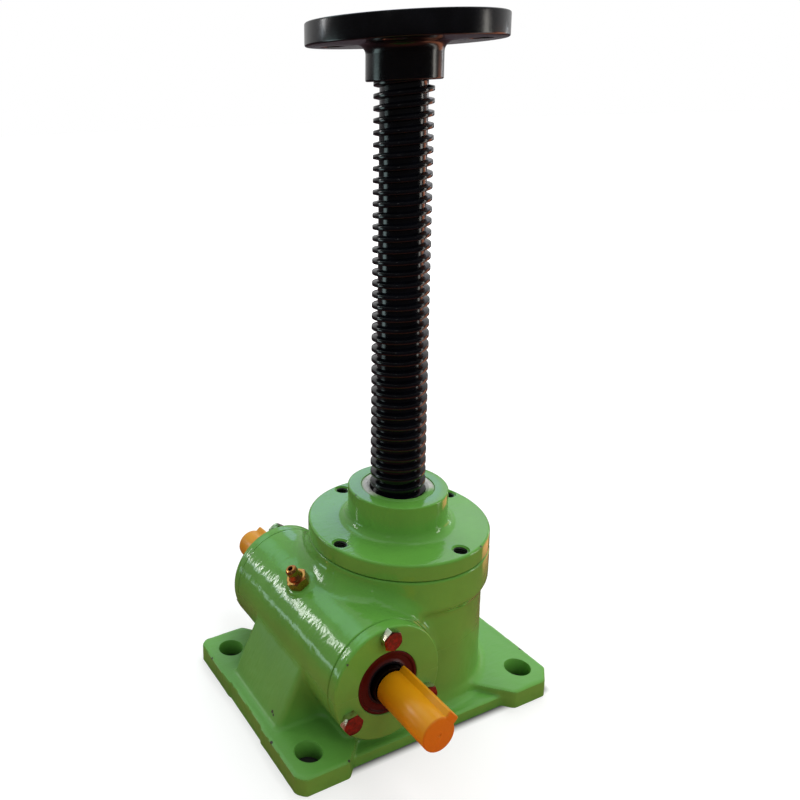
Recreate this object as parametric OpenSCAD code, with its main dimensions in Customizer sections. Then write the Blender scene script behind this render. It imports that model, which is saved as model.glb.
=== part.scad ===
// Worm screw jack with a travelling trapezoidal screw.
// Z is up, the screw axis is the Z axis and the base's underside is z = 0.
// The worm runs along Y on the -X side; "front" is its -Y end, "rear" its +Y end.
// The screw is drawn extended by its whole stroke.

/* [Lifting screw] */
// Crest diameter of the trapezoidal thread
screw_d = 30; // [28:0.5:32]
// Pitch of the trapezoidal thread, one start
screw_pitch = 6; // [5:0.5:6]
// How far the screw travels between its two ends
stroke = 200; // [100:10:300]
// Gap left between the cover's boss and the head's hub when the screw is down
closed_gap = 19; // [10:1:40]
// Straight thread segments per turn
screw_segments = 16; // [12:2:20]

/* [Head plate] */
// Diameter of the head plate
head_d = 98; // [90:1:120]
// Thickness of the head plate
head_t = 11.5; // [10:0.5:16]
// Diameter of the hub below the plate
hub_d = 38; // [38:1:44]
// Length of the hub below the plate
hub_h = 18; // [16:1:26]
// Bolt circle of the head plate
head_pcd = 72; // [68:1:76]
// Hole diameter in the head plate
head_hole_d = 11; // [9:0.5:13]

/* [Base] */
// Length of the base across the worm
base_l = 165; // [164:1:180]
// Width of the base along the worm
base_w = 120; // [118:1:130]
// From the screw axis to the base's edge on the worm side
base_worm_side = 100; // [98:1:104]
// Thickness of the four feet
foot_t = 10; // [9:0.5:12]
// Thickness of the thin rail between two feet
rail_t = 6; // [5:0.5:8]
// How far the rail's edge lies behind the feet
rail_inset = 5; // [3:0.5:6]
// Diameter of the four foundation holes
base_hole_d = 14; // [11:0.5:15]
// From the foundation holes to the base's short edges
hole_inset_x = 14; // [12:0.5:16]
// From the foundation holes to the base's long edges
hole_inset_y = 15; // [13:0.5:17]

/* [Housing] */
// Height of the worm axis over the base's underside
axis_h = 43; // [42:0.5:46]
// Diameter of the upright barrel
barrel_d = 93; // [92:1:98]
// Diameter of the collar on top of the barrel, and of the cover's flange
collar_d = 100; // [98:1:106]
// Height of the collar
collar_h = 17.5; // [15:0.5:20]
// Diameter of the worm tunnel and of its two end covers
tunnel_d = 63; // [63:1:66]
// Length of the worm tunnel, face to face
tunnel_l = 99.2; // [99:0.2:104]

/* [Top cover] */
// Thickness of the flange
flange_t = 9.3; // [8:0.1:12]
// Diameter of the boss round the screw
boss_d = 55; // [52:1:62]
// Height of the boss over the flange
boss_h = 20; // [16:1:26]
// Circle of the four tapped holes in the flange
tapped_pcd = 88; // [84:0.5:89]
// Nominal diameter of the tapped holes
tapped_d = 8; // [6:1:8]
// Angle at which the cover came to rest when it was screwed home
cover_turn = 11; // [-40:1:40]

/* [Worm gear] */
// Axial module of the worm and wheel
gear_module = 2.5; // [2.5:0.02:2.54]
// Teeth of the worm wheel, which is the ratio for a single-start worm
wheel_teeth = 24; // [23:1:24]
// Reference diameter of the worm
worm_ref_d = 32; // [31:0.5:33]
// Face width of the wheel's rim
wheel_face = 22; // [18:1:24]
// Plain shaft between the worm's thread and each bearing
worm_neck_l = 4; // [3:0.5:6]
// Play left between the flanks of worm and wheel
gear_backlash = 0.6; // [0.5:0.05:0.7]

/* [Worm shaft] */
// Diameter of the two driving ends
shaft_end_d = 16; // [14:1:17]
// Length of each driving end past its cover
shaft_end_l = 37.5; // [30:0.5:45]
// Width and height of the keys
key_w = 5; // [4:0.5:5]
// Length of the keys
key_l = 26; // [16:1:26]
// Angle of the keyways from +X towards +Z
key_turn = 42; // [0:1:90]
// Wall of the plastic shaft caps
cap_wall = 0.9; // [0.8:0.1:1.4]

/* [Bearings and seals] */
// Bore of the worm's bearings
worm_brg_bore = 20; // [19:1:20]
// Outside diameter of the worm's bearings
worm_brg_outer_d = 42; // [42:1:43]
// Width of the worm's bearings
worm_brg_w = 15; // [14.5:0.5:16]
// Bore of the thrust bearings
thrust_bore = 40; // [40:0.5:42]
// Outside diameter of the thrust bearings
thrust_outer_d = 60; // [60:0.5:62]
// Height of the thrust bearings
thrust_h = 13; // [13:0.5:14]
// Outside diameter of the shaft seals
seal_outer_d = 35; // [33:1:36]
// Width of the shaft seals
seal_w = 7; // [6:0.5:7]

/* [Covers and fasteners] */
// Thickness of the worm covers' flange
cover_t = 6; // [5:0.5:8]
// Bolt circle of the worm covers
cover_pcd = 52.5; // [52:0.5:53.5]
// Nominal diameter of the cover bolts
bolt_d = 6; // [5:0.5:6]
// Across flats of the bolts' heads
bolt_af = 10; // [8:0.5:10]
// Height of the bolts' heads
bolt_head_h = 4; // [3:0.5:5]
// Thickness of the shims under the worm covers
shim_t = 0.4; // [0.3:0.1:0.8]

/* [Hidden] */

$fn = 64;

// Colours
paint = [0.36, 0.62, 0.34];
black = [0.06, 0.06, 0.08];
steel = [0.62, 0.63, 0.65];
bronze = [0.72, 0.52, 0.25];
brass = [0.78, 0.58, 0.30];
zinc = [0.80, 0.74, 0.58];
rubber = [0.30, 0.07, 0.05];
plastic = [0.94, 0.62, 0.10];
felt = [0.62, 0.64, 0.60];

// Clearances
run_gap = 0.3;      // radial, round the screw's crests and in open bearings
turn_gap = 0.15;    // radial, between pieces that turn in each other
seat_gap = 0.05;    // radial, between pieces that are fitted and stay put
paint_gap = 0.7;    // axial, the dark line under the cover's flange
eps = 0.01;

// Trapezoidal screw thread, 30 degree flanks
screw_r = screw_d / 2;
thread_depth = screw_pitch / 2;
screw_root_r = screw_r - thread_depth;
tan15 = tan(15);
crest_half = 0.183 * screw_pitch;
nut_radial_gap = 0.75;
nut_axial_gap = 0.3;

// Worm gear
worm_ref_r = worm_ref_d / 2;
wheel_ref_r = gear_module * wheel_teeth / 2;
worm_x = -(worm_ref_r + wheel_ref_r);
worm_pitch = PI * gear_module;
worm_tip_r = worm_ref_r + gear_module;
worm_root_r = worm_ref_r - 1.2 * gear_module;
wheel_tip_r = wheel_ref_r + gear_module;
wheel_root_r = wheel_ref_r - 1.24 * gear_module;
lead_angle = atan(gear_module / worm_ref_d);
pressure = 20;

// Heights along the screw axis, from the wheel outwards
shoulder_half = 18;
shoulder_r = thrust_bore / 2 + 6.5;
journal_l = 11;
lower_seat_z = axis_h - shoulder_half - thrust_h;
upper_seat_z = axis_h + shoulder_half + thrust_h;
wheel_bottom_z = axis_h - shoulder_half - journal_l;
wheel_top_z = axis_h + shoulder_half + journal_l;
spigot_wall = 11.5;
collar_top_z = upper_seat_z + spigot_wall;
collar_z = collar_top_z - collar_h;
flange_z = collar_top_z + paint_gap;
flange_top_z = flange_z + flange_t;
boss_top_z = flange_top_z + boss_h;
hub_z = boss_top_z + stroke + closed_gap;
plate_z = hub_z + hub_h;
plate_top_z = plate_z + head_t;

// Cavity, spigot and bores
cavity_r = wheel_tip_r + 4.5;
spigot_r = cavity_r + 4;
spigot_l = 8;
grease_r = thrust_bore / 2 + 2;
bush_r = thrust_bore / 2 - 1;
wiper_r = thrust_bore / 2;
wiper_h = 6;
bush_z = upper_seat_z + 9;
lower_bush_flange_r = thrust_bore / 2 + 3;
lower_bush_flange_t = 3;
screw_bore_r = screw_r + run_gap;

// Screw's lower end
stop_z = 3;
stop_h = wheel_bottom_z - 1.5 - stop_z;
stop_r = screw_r - 0.1;
tail_r = screw_root_r - 0.6;
tail_z = 2;
thread_z = stop_z + stop_h;
pin_r = 2;

// Screw's upper end: the thread runs into a recess in the hub and the neck through the plate
neck_r = screw_root_r - 0.5;
recess_h = 1.4 * screw_pitch;
screw_top_z = hub_z + recess_h;
head_lock_r = 3;
head_lock_z = screw_top_z + head_lock_r + 1.5;

// Worm shaft, measured out from its middle
face_y = tunnel_l / 2;
cover_y = face_y + shim_t;
cover_face_y = cover_y + cover_t;
seal_y = cover_face_y - seal_w - 0.3;
cover_back_t = 3;
brg_out_y = seal_y - cover_back_t + 0.3;
brg_in_y = brg_out_y - worm_brg_w;
seat_r = worm_brg_bore / 2;
brg_or = worm_brg_outer_d / 2;
shaft_end_r = shaft_end_d / 2;
shaft_body_r = worm_root_r - 0.4;
worm_end_y = brg_in_y - worm_neck_l;
land_y = cover_face_y + 2.6;
shaft_tip_y = cover_face_y + shaft_end_l;
cap_gap_y = 0.6;

// Rolling elements
ball_r = 3.3;
ball_count = 18;
ball_gap = 0.2;
ball_pcr = (thrust_bore + thrust_outer_d) / 4;
race_t = 4;
cage_t = 1.2;
roller_count = 15;
roller_l = 9;
roller_small_r = 1.85;
roller_big_r = 2.3;
roller_tilt = 11;
roller_pcr = (seat_r + brg_or) / 2;
roller_gap = 0.15;
roller_taper = atan((roller_big_r - roller_small_r) / roller_l);
roller_mid_r = (roller_small_r + roller_big_r) / 2;

roller_mid_y = (brg_in_y + brg_out_y) / 2;

// Base and its feet
foot_y = base_w / 2;
base_x0 = -base_worm_side;
base_x1 = base_l - base_worm_side;
foot_worm_l = 29;       // length of the two feet on the worm side, along X
foot_free_l = 30;       // length of the two feet on the free side
edge_inset = 1;         // how far the worm side's edge lies behind its two feet
edge_foot_w = 31;       // width of those feet, along Y
corner_worm = 4;        // corner cuts of the two feet on the worm side
corner_free = 8.5;      // corner cuts of the two feet on the free side

// Small parts on the housing
nipple_angle = 30;      // from +Z towards -X, round the worm axis
nipple_y = 3;
nipple_r = 5;
nipple_hex = 11;
lock_angle = 62;
lock_z = collar_z + 9;
lock_r = 3;
lock_l = 8;
bolt_l = 16;
tapped_r = 0.425 * tapped_d;
thread_seat = 0.05;     // radial, round a screw whose thread isn't drawn

// Keys
key_y = land_y + 5;
key_sink = key_w * 0.6;

// ---------- shared shapes ----------

// Puts its children on the worm axis with +Z pointing out of the given end
module on_worm(side) {
    translate([worm_x, 0, axis_h])
        if (side == "front") rotate([90, 0, 0]) children();
        else mirror([0, 1, 0]) rotate([90, 0, 0]) children();
}

// One turning profile, given as [radius, height] points
module lathe(points) { rotate_extrude() polygon(points); }

// Points of a quarter round from one angle to another
function arc(cx, cy, r, a0, a1, n = 6) =
    [for (i = [0:n]) let (a = a0 + (a1 - a0) * i / n) [cx + r * cos(a), cy + r * sin(a)]];

module ring(r_in, r_out, h, z = 0) {
    translate([0, 0, z]) difference() {
        cylinder(h = h, r = r_out);
        translate([0, 0, -1]) cylinder(h = h + 2, r = r_in);
    }
}

// A closed helical thread with flat ends. The tooth's middle crosses angle 0 at mid_z;
// half_in and half_out are half the tooth's width at r_in and r_out. The first and last
// turns run out to r_in over a quarter turn.
module thread(r_in, r_out, half_in, half_out, pitch, n, z0, z1, mid_z) {
    step = pitch / n;
    first = mid_z - half_in + pitch * ceil((z0 + 0.3 - mid_z + half_in) / pitch);
    turns = floor((z1 - 0.3 - first - (n - 1) * step) / pitch);
    rows = 4 * turns;
    offs = [0, half_in - half_out, half_in + half_out, 2 * half_in];
    fade = n / 4;
    // how tall the tooth is at a step along the helix, 0 to 1
    function tall(s) = max(0, min(1, min(s, turns * n - 1 - s) / fade));
    function vr(j, i) = (i % 4 == 0 || i % 4 == 3) ? r_in
        : r_in + (r_out - r_in) * tall(j + n * floor(i / 4));
    function at(j, r, z) = [r * cos(360 * j / n), r * sin(360 * j / n), z];
    base = [for (j = [0:n - 1]) at(j, r_in, z0)];
    top = [for (j = [0:n - 1]) at(j, r_in, z1)];
    body = [for (j = [0:n - 1]) for (i = [0:rows - 1])
        at(j, vr(j, i), first + j * step + pitch * floor(i / 4) + offs[i % 4])];
    function b(j) = j % n;
    function t(j) = n + j % n;
    function v(j, i) = 2 * n + j * rows + i;
    polyhedron(
        points = concat(base, top, body),
        faces = concat(
            [[for (j = [0:n - 1]) b(j)]],
            [[for (j = [n - 1:-1:0]) t(j)]],
            // plain steps
            [for (j = [0:n - 2]) [b(j), v(j, 0), v(j + 1, 0)]],
            [for (j = [0:n - 2]) [b(j), v(j + 1, 0), b(j + 1)]],
            [for (j = [0:n - 2]) for (i = [0:rows - 2]) [v(j, i), v(j, i + 1), v(j + 1, i + 1)]],
            [for (j = [0:n - 2]) for (i = [0:rows - 2]) [v(j, i), v(j + 1, i + 1), v(j + 1, i)]],
            [for (j = [0:n - 2]) [v(j, rows - 1), t(j), v(j + 1, rows - 1)]],
            [for (j = [0:n - 2]) [v(j + 1, rows - 1), t(j), t(j + 1)]],
            // the seam, where each turn meets the next one
            [for (i = [0:3]) [b(n - 1), v(0, i + 1), v(0, i)]],
            [[b(n - 1), v(n - 1, 0), v(0, 4)], [b(n - 1), v(0, 0), b(0)]],
            [for (i = [0:rows - 6]) [v(n - 1, i), v(n - 1, i + 1), v(0, i + 5)]],
            [for (i = [0:rows - 6]) [v(n - 1, i), v(0, i + 5), v(0, i + 4)]],
            [for (i = [rows - 5:rows - 2]) [v(n - 1, i), v(n - 1, i + 1), v(0, rows - 1)]],
            [[v(n - 1, rows - 1), t(n - 1), v(0, rows - 1)], [v(0, rows - 1), t(n - 1), t(0)]]
        ),
        convexity = 10);
}

// ---------- housing ----------

// Outline of the base plate with its four corners cut off at 45 degrees
module base_outline() {
    polygon([[base_x1, foot_y - corner_free], [base_x1 - corner_free, foot_y],
             [base_x0 + corner_worm, foot_y], [base_x0, foot_y - corner_worm],
             [base_x0, -foot_y + corner_worm], [base_x0 + corner_worm, -foot_y],
             [base_x1 - corner_free, -foot_y], [base_x1, -foot_y + corner_free]]);
}

// Ground plan between two feet on the front side, its ends slanting in at 45 degrees
module rail_zone(depth) {
    x0 = base_x0 + foot_worm_l;
    x1 = base_x1 - foot_free_l;
    polygon([[x0 - 2, -foot_y - 2], [x1 + 2, -foot_y - 2],
             [x1 - depth, -foot_y + depth], [x0 + depth, -foot_y + depth]]);
}

module base_plate() {
    difference() {
        linear_extrude(foot_t) base_outline();
        for (side = [0, 1]) mirror([0, side, 0]) {
            translate([0, 0, rail_t]) linear_extrude(foot_t) rail_zone(16);
            translate([0, 0, -1]) linear_extrude(foot_t + 2) rail_zone(rail_inset);
        }
        translate([base_x0 - 1, edge_foot_w - foot_y, -1])
            cube([1 + edge_inset, base_w - 2 * edge_foot_w, foot_t + 2]);
    }
}

// Barrel, collar and the sweep into the base, as one turned body
module barrel_body() {
    r = barrel_d / 2;
    lathe(concat(
        [[0, 1], [r + 6, 1], [r + 6, rail_t]],
        arc(r + 6, rail_t + 6, 6, 270, 180),
        [[r, collar_z - (collar_d - barrel_d) / 2 - 1]],
        [[collar_d / 2, collar_z]],
        arc(collar_d / 2 - 1, collar_top_z - 1, 1, 0, 90, 4),
        [[0, collar_top_z]]));
}

// Worm tunnel with its edge rounds, the pedestal under it and the sloping side support
module worm_tunnel() {
    r = tunnel_d / 2;
    on_worm("front") translate([0, 0, -face_y])
        lathe([[0, 0], [r - 0.8, 0], [r, 0.8], [r, tunnel_l - 0.8], [r - 0.8, tunnel_l],
               [0, tunnel_l]]);
    pedestal_half = 18.5;
    translate([worm_x - pedestal_half, -face_y + 3, 1])
        cube([2 * pedestal_half, tunnel_l - 6, axis_h - 1]);
    rib_half = 26;
    toe = 6.5;
    translate([0, rib_half, 0]) rotate([90, 0, 0]) linear_extrude(2 * rib_half)
        polygon([[worm_x, 1], [base_x0 + toe, 1], [base_x0 + toe, foot_t],
                 [worm_x - r, axis_h], [worm_x, axis_h]]);
}

// Puts its children on the grease nipple's seat, +Z along the nipple
module on_nipple() {
    translate([worm_x, nipple_y, axis_h]) rotate([0, -nipple_angle, 0])
        translate([0, 0, tunnel_d / 2]) children();
}

// Puts its children on the collar's lock screw hole, +Z pointing out
module on_lock() {
    rotate([0, 0, lock_angle]) translate([0, 0, lock_z]) rotate([0, 90, 0]) children();
}

module cover_bolt_places(side) {
    on_worm(side) for (a = [90, 210, 330]) rotate([0, 0, a])
        translate([cover_pcd / 2, 0, 0]) children();
}

module housing() color(paint) difference() {
    union() {
        base_plate();
        barrel_body();
        worm_tunnel();
        on_nipple() translate([0, 0, -4]) cylinder(h = 4.6, r = 8);
    }
    // wheel space, cover thread and lower seat
    translate([0, 0, lower_seat_z]) cylinder(h = collar_top_z, r = thrust_outer_d / 2 + seat_gap);
    translate([0, 0, lower_seat_z + race_t + 1]) cylinder(h = collar_top_z, r = cavity_r);
    translate([0, 0, upper_seat_z - spigot_l - 1]) cylinder(h = collar_top_z, r = spigot_r + seat_gap);
    // guide bush in the floor
    translate([0, 0, -1]) cylinder(h = lower_seat_z + 2, r = bush_r + seat_gap);
    translate([0, 0, -1]) cylinder(h = 1 + lower_bush_flange_t + 0.1, r = lower_bush_flange_r + seat_gap);
    // worm bore
    on_worm("front") translate([0, 0, -face_y - 1]) cylinder(h = tunnel_l + 2, r = brg_or + seat_gap);
    for (side = ["front", "rear"]) cover_bolt_places(side)
        translate([0, 0, face_y - bolt_l + 2]) cylinder(h = bolt_l, r = bolt_d / 2 + thread_seat);
    // foundation holes
    for (x = [base_x0 + hole_inset_x, base_x1 - hole_inset_x],
         y = [-foot_y + hole_inset_y, foot_y - hole_inset_y])
        translate([x, y, -1]) cylinder(h = foot_t + 2, r = base_hole_d / 2);
    // nipple thread and grease way
    on_nipple() translate([0, 0, -7]) cylinder(h = 12, r = nipple_r + thread_seat);
    on_nipple() translate([0, 0, -16]) cylinder(h = 12, r = 2);
    on_lock() cylinder(h = collar_d, r = lock_r + thread_seat);
}

// ---------- top cover ----------

module top_cover() color(paint) rotate([0, 0, cover_turn]) difference() {
    rf = collar_d / 2;
    rb = boss_d / 2;
    fillet = 5.5;
    lathe(concat(
        [[thrust_outer_d / 2 + seat_gap, upper_seat_z - spigot_l], [spigot_r, upper_seat_z - spigot_l],
         [spigot_r, flange_z], [rf - 0.6, flange_z], [rf, flange_z + 0.6]],
        arc(rf - 1.2, flange_top_z - 1.2, 1.2, 0, 90, 4),
        arc(rb + fillet, flange_top_z + fillet, fillet, 270, 180),
        arc(rb - 1, boss_top_z - 1, 1, 0, 90, 4),
        [[wiper_r + seat_gap, boss_top_z], [wiper_r + seat_gap, boss_top_z - wiper_h],
         [bush_r + seat_gap, boss_top_z - wiper_h], [bush_r + seat_gap, bush_z],
         [bush_r - 2, bush_z], [bush_r - 2, bush_z - 2], [grease_r, bush_z - 4],
         [grease_r, upper_seat_z], [thrust_outer_d / 2 + seat_gap, upper_seat_z]]));
    for (a = [0, 90, 180, 270]) rotate([0, 0, a]) translate([tapped_pcd / 2, 0, 0]) {
        translate([0, 0, flange_z - 0.1]) cylinder(h = flange_t + 1.1, r = tapped_r);
        translate([0, 0, flange_top_z - 0.8])
            cylinder(h = 1, r1 = tapped_r, r2 = tapped_r + 1);
    }
}

module wiper_ring() color(felt)
    ring(screw_bore_r, wiper_r, wiper_h - 0.4, boss_top_z - wiper_h);

module upper_guide_bush() color(bronze)
    ring(screw_bore_r, bush_r, boss_top_z - wiper_h - bush_z, bush_z);

module lower_guide_bush() color(bronze) {
    difference() {
        union() {
            cylinder(h = lower_seat_z, r = bush_r);
            cylinder(h = lower_bush_flange_t, r = lower_bush_flange_r);
        }
        translate([0, 0, -1]) cylinder(h = lower_seat_z + 2, r = screw_bore_r);
    }
}

module cover_lock_screw() color(steel) on_lock() difference() {
    translate([0, 0, spigot_r]) cylinder(h = lock_l, r = lock_r);
    translate([0, 0, spigot_r + lock_l - 3]) cylinder(h = 4, r = 1.7, $fn = 6);
}

module grease_nipple() color(brass) on_nipple() {
    difference() {
        union() {
            translate([0, 0, -6]) cylinder(h = 6.7, r = nipple_r);
            translate([0, 0, 0.6]) cylinder(h = 5, d = nipple_hex / cos(30), $fn = 6);
            translate([0, 0, 5.6]) lathe([[0, 0], [3.9, 0], [3.2, 2.5], [2.3, 5.2], [2.3, 6],
                [3.25, 7], [3.25, 8.8], [2.1, 10.4], [0, 10.4]]);
        }
        translate([0, 0, -7]) cylinder(h = 21, r = 1.2);
    }
}

// ---------- lifting screw ----------

module lifting_screw() color(black) {
    thread(screw_root_r, screw_r, crest_half + thread_depth * tan15, crest_half,
           screw_pitch, screw_segments, thread_z, screw_top_z, axis_h);
    difference() {
        lathe([[0, tail_z], [tail_r - 1, tail_z], [tail_r, tail_z + 1], [tail_r, thread_z + eps],
               [0, thread_z + eps]]);
        translate([0, 0, stop_z + stop_h / 2]) rotate([90, 0, 0])
            cylinder(h = screw_d, r = pin_r + seat_gap, center = true);
    }
    lathe([[0, screw_top_z - eps], [neck_r, screw_top_z - eps], [neck_r, plate_top_z - 1.6],
           [neck_r - 1, plate_top_z - 0.6], [0, plate_top_z - 0.6]]);
}

module travel_stop_ring() color(steel) difference() {
    translate([0, 0, stop_z]) lathe([[tail_r + seat_gap, 0], [stop_r - 1, 0], [stop_r, 1],
        [stop_r, stop_h], [tail_r + seat_gap, stop_h]]);
    translate([0, 0, stop_z + stop_h / 2]) rotate([90, 0, 0])
        cylinder(h = screw_d + 2, r = pin_r + seat_gap, center = true);
}

module stop_ring_pin() color(steel)
    translate([0, 0, stop_z + stop_h / 2]) rotate([90, 0, 0])
        cylinder(h = 2 * stop_r - 1.2, r = pin_r, center = true);

module head_plate() color(black) difference() {
    rp = head_d / 2;
    rh = hub_d / 2;
    fillet = 5;
    translate([0, 0, hub_z]) lathe(concat(
        [[screw_bore_r, recess_h], [screw_bore_r, 0], [rh - 0.8, 0], [rh, 0.8]],
        arc(rh + fillet, hub_h - fillet, fillet, 180, 90),
        arc(rp - 1, hub_h + 1, 1, 270, 360, 4),
        arc(rp - 1, hub_h + head_t - 1, 1, 0, 90, 4),
        [[neck_r + seat_gap, hub_h + head_t], [neck_r + seat_gap, recess_h]]));
    for (a = [45:90:315]) rotate([0, 0, a])
        translate([head_pcd / 2, 0, plate_z - 1]) cylinder(h = head_t + 2, r = head_hole_d / 2);
    translate([0, 0, head_lock_z]) rotate([-90, 0, 0])
        cylinder(h = hub_d / 2 + 1, r = head_lock_r + thread_seat);
}

module head_lock_screw() color(black) translate([0, 0, head_lock_z]) rotate([-90, 0, 0])
    difference() {
        translate([0, 0, neck_r]) cylinder(h = hub_d / 2 - neck_r - 1, r = head_lock_r);
        translate([0, 0, hub_d / 2 - 4]) cylinder(h = 4, r = 1.7, $fn = 6);
    }

// ---------- worm wheel ----------

// Involute function, in radians
function inv(a) = tan(a) - a * PI / 180;

// Half the angle of a tooth at a radius, on an involute of 20 degrees
function tooth_half(r, rb, half_ref) =
    half_ref + (inv(pressure) - inv(acos(min(1, rb / r)))) * 180 / PI;

// Wheel outline with a gap centred on the -X axis, which faces the worm
module wheel_outline() {
    rb = wheel_ref_r * cos(pressure);
    half_ref = (PI * gear_module / 2 - gear_backlash / 2) / 2 / wheel_ref_r * 180 / PI;
    radii = [wheel_root_r, rb + 0.05, wheel_ref_r, (wheel_ref_r + wheel_tip_r) / 2, wheel_tip_r];
    polygon([for (k = [0:wheel_teeth - 1])
        let (mid = 180 + (k + 0.5) * 360 / wheel_teeth)
        for (i = [0:9])
            let (r = radii[i < 5 ? i : 9 - i],
                 a = mid + (i < 5 ? -1 : 1) * tooth_half(max(r, rb + 0.05), rb, half_ref))
            [r * cos(a), r * sin(a)]]);
}

module worm_wheel() color(bronze) difference() {
    union() {
        // the rim's helix angle is the worm's lead angle
        turn = wheel_face * tan(lead_angle) / wheel_ref_r * 180 / PI;
        translate([0, 0, axis_h - wheel_face / 2]) rotate([0, 0, -turn / 2])
            linear_extrude(height = wheel_face, twist = -turn, slices = 3) wheel_outline();
        translate([0, 0, axis_h - shoulder_half]) cylinder(h = 2 * shoulder_half, r = shoulder_r);
        translate([0, 0, wheel_bottom_z])
            cylinder(h = wheel_top_z - wheel_bottom_z, r = thrust_bore / 2 - seat_gap);
    }
    thread(screw_root_r + nut_radial_gap, screw_r + nut_radial_gap,
           crest_half + (thread_depth - nut_radial_gap) * tan15 + nut_axial_gap,
           crest_half - nut_radial_gap * tan15 + nut_axial_gap,
           screw_pitch, screw_segments,
           wheel_bottom_z - 2.5 * screw_pitch, wheel_top_z + 2.5 * screw_pitch, axis_h);
}

// ---------- thrust bearings ----------

// The bearing's seat side is at z = 0 and its wheel side at z = thrust_h
module on_thrust(which) {
    if (which == "upper") translate([0, 0, upper_seat_z]) mirror([0, 0, 1]) children();
    else translate([0, 0, lower_seat_z]) children();
}

module ball_groove() {
    translate([0, 0, thrust_h / 2]) rotate_extrude() translate([ball_pcr, 0])
        circle(r = ball_r + ball_gap, $fn = 32);
}

module seat_race(which) on_thrust(which) difference() {
    ring(thrust_bore / 2 + 0.4, thrust_outer_d / 2, race_t);
    ball_groove();
}

module wheel_race(which) on_thrust(which) difference() {
    ring(thrust_bore / 2, thrust_outer_d / 2 - 0.4, race_t, thrust_h - race_t);
    ball_groove();
}

module ball_set(which) on_thrust(which)
    for (i = [0:ball_count - 1]) rotate([0, 0, 360 * i / ball_count])
        translate([ball_pcr, 0, thrust_h / 2]) sphere(r = ball_r);

module ball_cage(which) on_thrust(which) difference() {
    ring(ball_pcr - 4.2, ball_pcr + 4.2, cage_t, (thrust_h - cage_t) / 2);
    for (i = [0:ball_count - 1]) rotate([0, 0, 360 * i / ball_count])
        translate([ball_pcr, 0, 0]) cylinder(h = thrust_h, r = ball_r + 0.12);
}

module upper_thrust_seat_race() color(steel) seat_race("upper");
module upper_thrust_wheel_race() color(steel) wheel_race("upper");
module upper_thrust_balls() color(steel) ball_set("upper");
module upper_thrust_cage() color(brass) ball_cage("upper");
module lower_thrust_seat_race() color(steel) seat_race("lower");
module lower_thrust_wheel_race() color(steel) wheel_race("lower");
module lower_thrust_balls() color(steel) ball_set("lower");
module lower_thrust_cage() color(brass) ball_cage("lower");

// ---------- worm shaft ----------

// Half of the turned shaft, from its thread outwards
module shaft_half(side) on_worm(side) difference() {
    lathe([[0, worm_end_y - eps], [shaft_body_r, worm_end_y - eps],
           [shaft_body_r, brg_in_y], [seat_r, brg_in_y], [seat_r, land_y - 0.5],
           [seat_r - 0.5, land_y], [shaft_end_r, land_y],
           [shaft_end_r, shaft_tip_y - 1], [shaft_end_r - 1, shaft_tip_y], [0, shaft_tip_y]]);
    // centre drilling
    translate([0, 0, shaft_tip_y - 3]) cylinder(h = 3.1, r1 = 0.8, r2 = 2.6);
    key_blank();
}

// The key and its room in the shaft, on the worm axis
module key_blank() {
    rotate([0, 0, key_turn]) translate([shaft_end_r - key_sink, -key_w / 2, key_y])
        cube([key_w, key_w, key_l]);
}

module worm_shaft() color(steel) {
    shaft_half("front");
    shaft_half("rear");
    half_ref = (worm_pitch / 2 - gear_backlash / 2) / 2;
    // right-hand worm; its tooth's middle faces the wheel at y = 0
    translate([worm_x, 0, axis_h]) rotate([90, 0, 0])
        thread(worm_root_r, worm_tip_r, half_ref + (worm_ref_r - worm_root_r) * tan(pressure),
               half_ref - (worm_tip_r - worm_ref_r) * tan(pressure), worm_pitch, 24,
               -worm_end_y, worm_end_y, 0);
}

module shaft_key(side) color(steel) on_worm(side) key_blank();
module front_key() shaft_key("front");
module rear_key() shaft_key("rear");

// ---------- taper roller bearings ----------

// A point of the bearing's section, given along and across the tilted roller axis.
// The rollers lean outwards towards the worm.
function on_roller(along, across) =
    [roller_pcr - sin(roller_tilt) * along + cos(roller_tilt) * across,
     roller_mid_y + cos(roller_tilt) * along + sin(roller_tilt) * across];
// Half thickness of a roller at a place along its axis
function roller_half(along) = roller_mid_r - tan(roller_taper) * along;

module roller_places(side) on_worm(side) for (i = [0:roller_count - 1])
    rotate([0, 0, 360 * (i + 0.5) / roller_count]) translate([roller_pcr, 0, roller_mid_y])
        rotate([0, -roller_tilt, 0]) children();

module bearing_cup(side) color(steel) on_worm(side) {
    lip = roller_l / 2 + 1.2;
    p0 = on_roller(-lip, roller_half(-lip) + roller_gap);
    p1 = on_roller(lip, roller_half(lip) + roller_gap);
    lathe([[p0[0], brg_in_y + 2.5], p1, [p1[0], brg_out_y], [brg_or - 0.6, brg_out_y],
           [brg_or, brg_out_y - 0.6], [brg_or, brg_in_y + 2.5]]);
}

module bearing_cone(side) color(steel) on_worm(side) {
    half = roller_l / 2 + 0.2;
    q0 = on_roller(-half, -roller_half(-half) - roller_gap);
    q1 = on_roller(half, -roller_half(half) - roller_gap);
    bore_r = seat_r + seat_gap;
    lathe([[bore_r, brg_in_y], [q0[0] + 1.4, brg_in_y], [q0[0] + 1.4, q0[1]], q0, q1,
           [q1[0] + 0.8, q1[1]], [q1[0] + 0.8, brg_out_y - 2], [bore_r, brg_out_y - 2]]);
}

module bearing_rollers(side) color(steel) roller_places(side)
    translate([0, 0, -roller_l / 2])
        cylinder(h = roller_l, r1 = roller_big_r, r2 = roller_small_r, $fn = 24);

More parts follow.
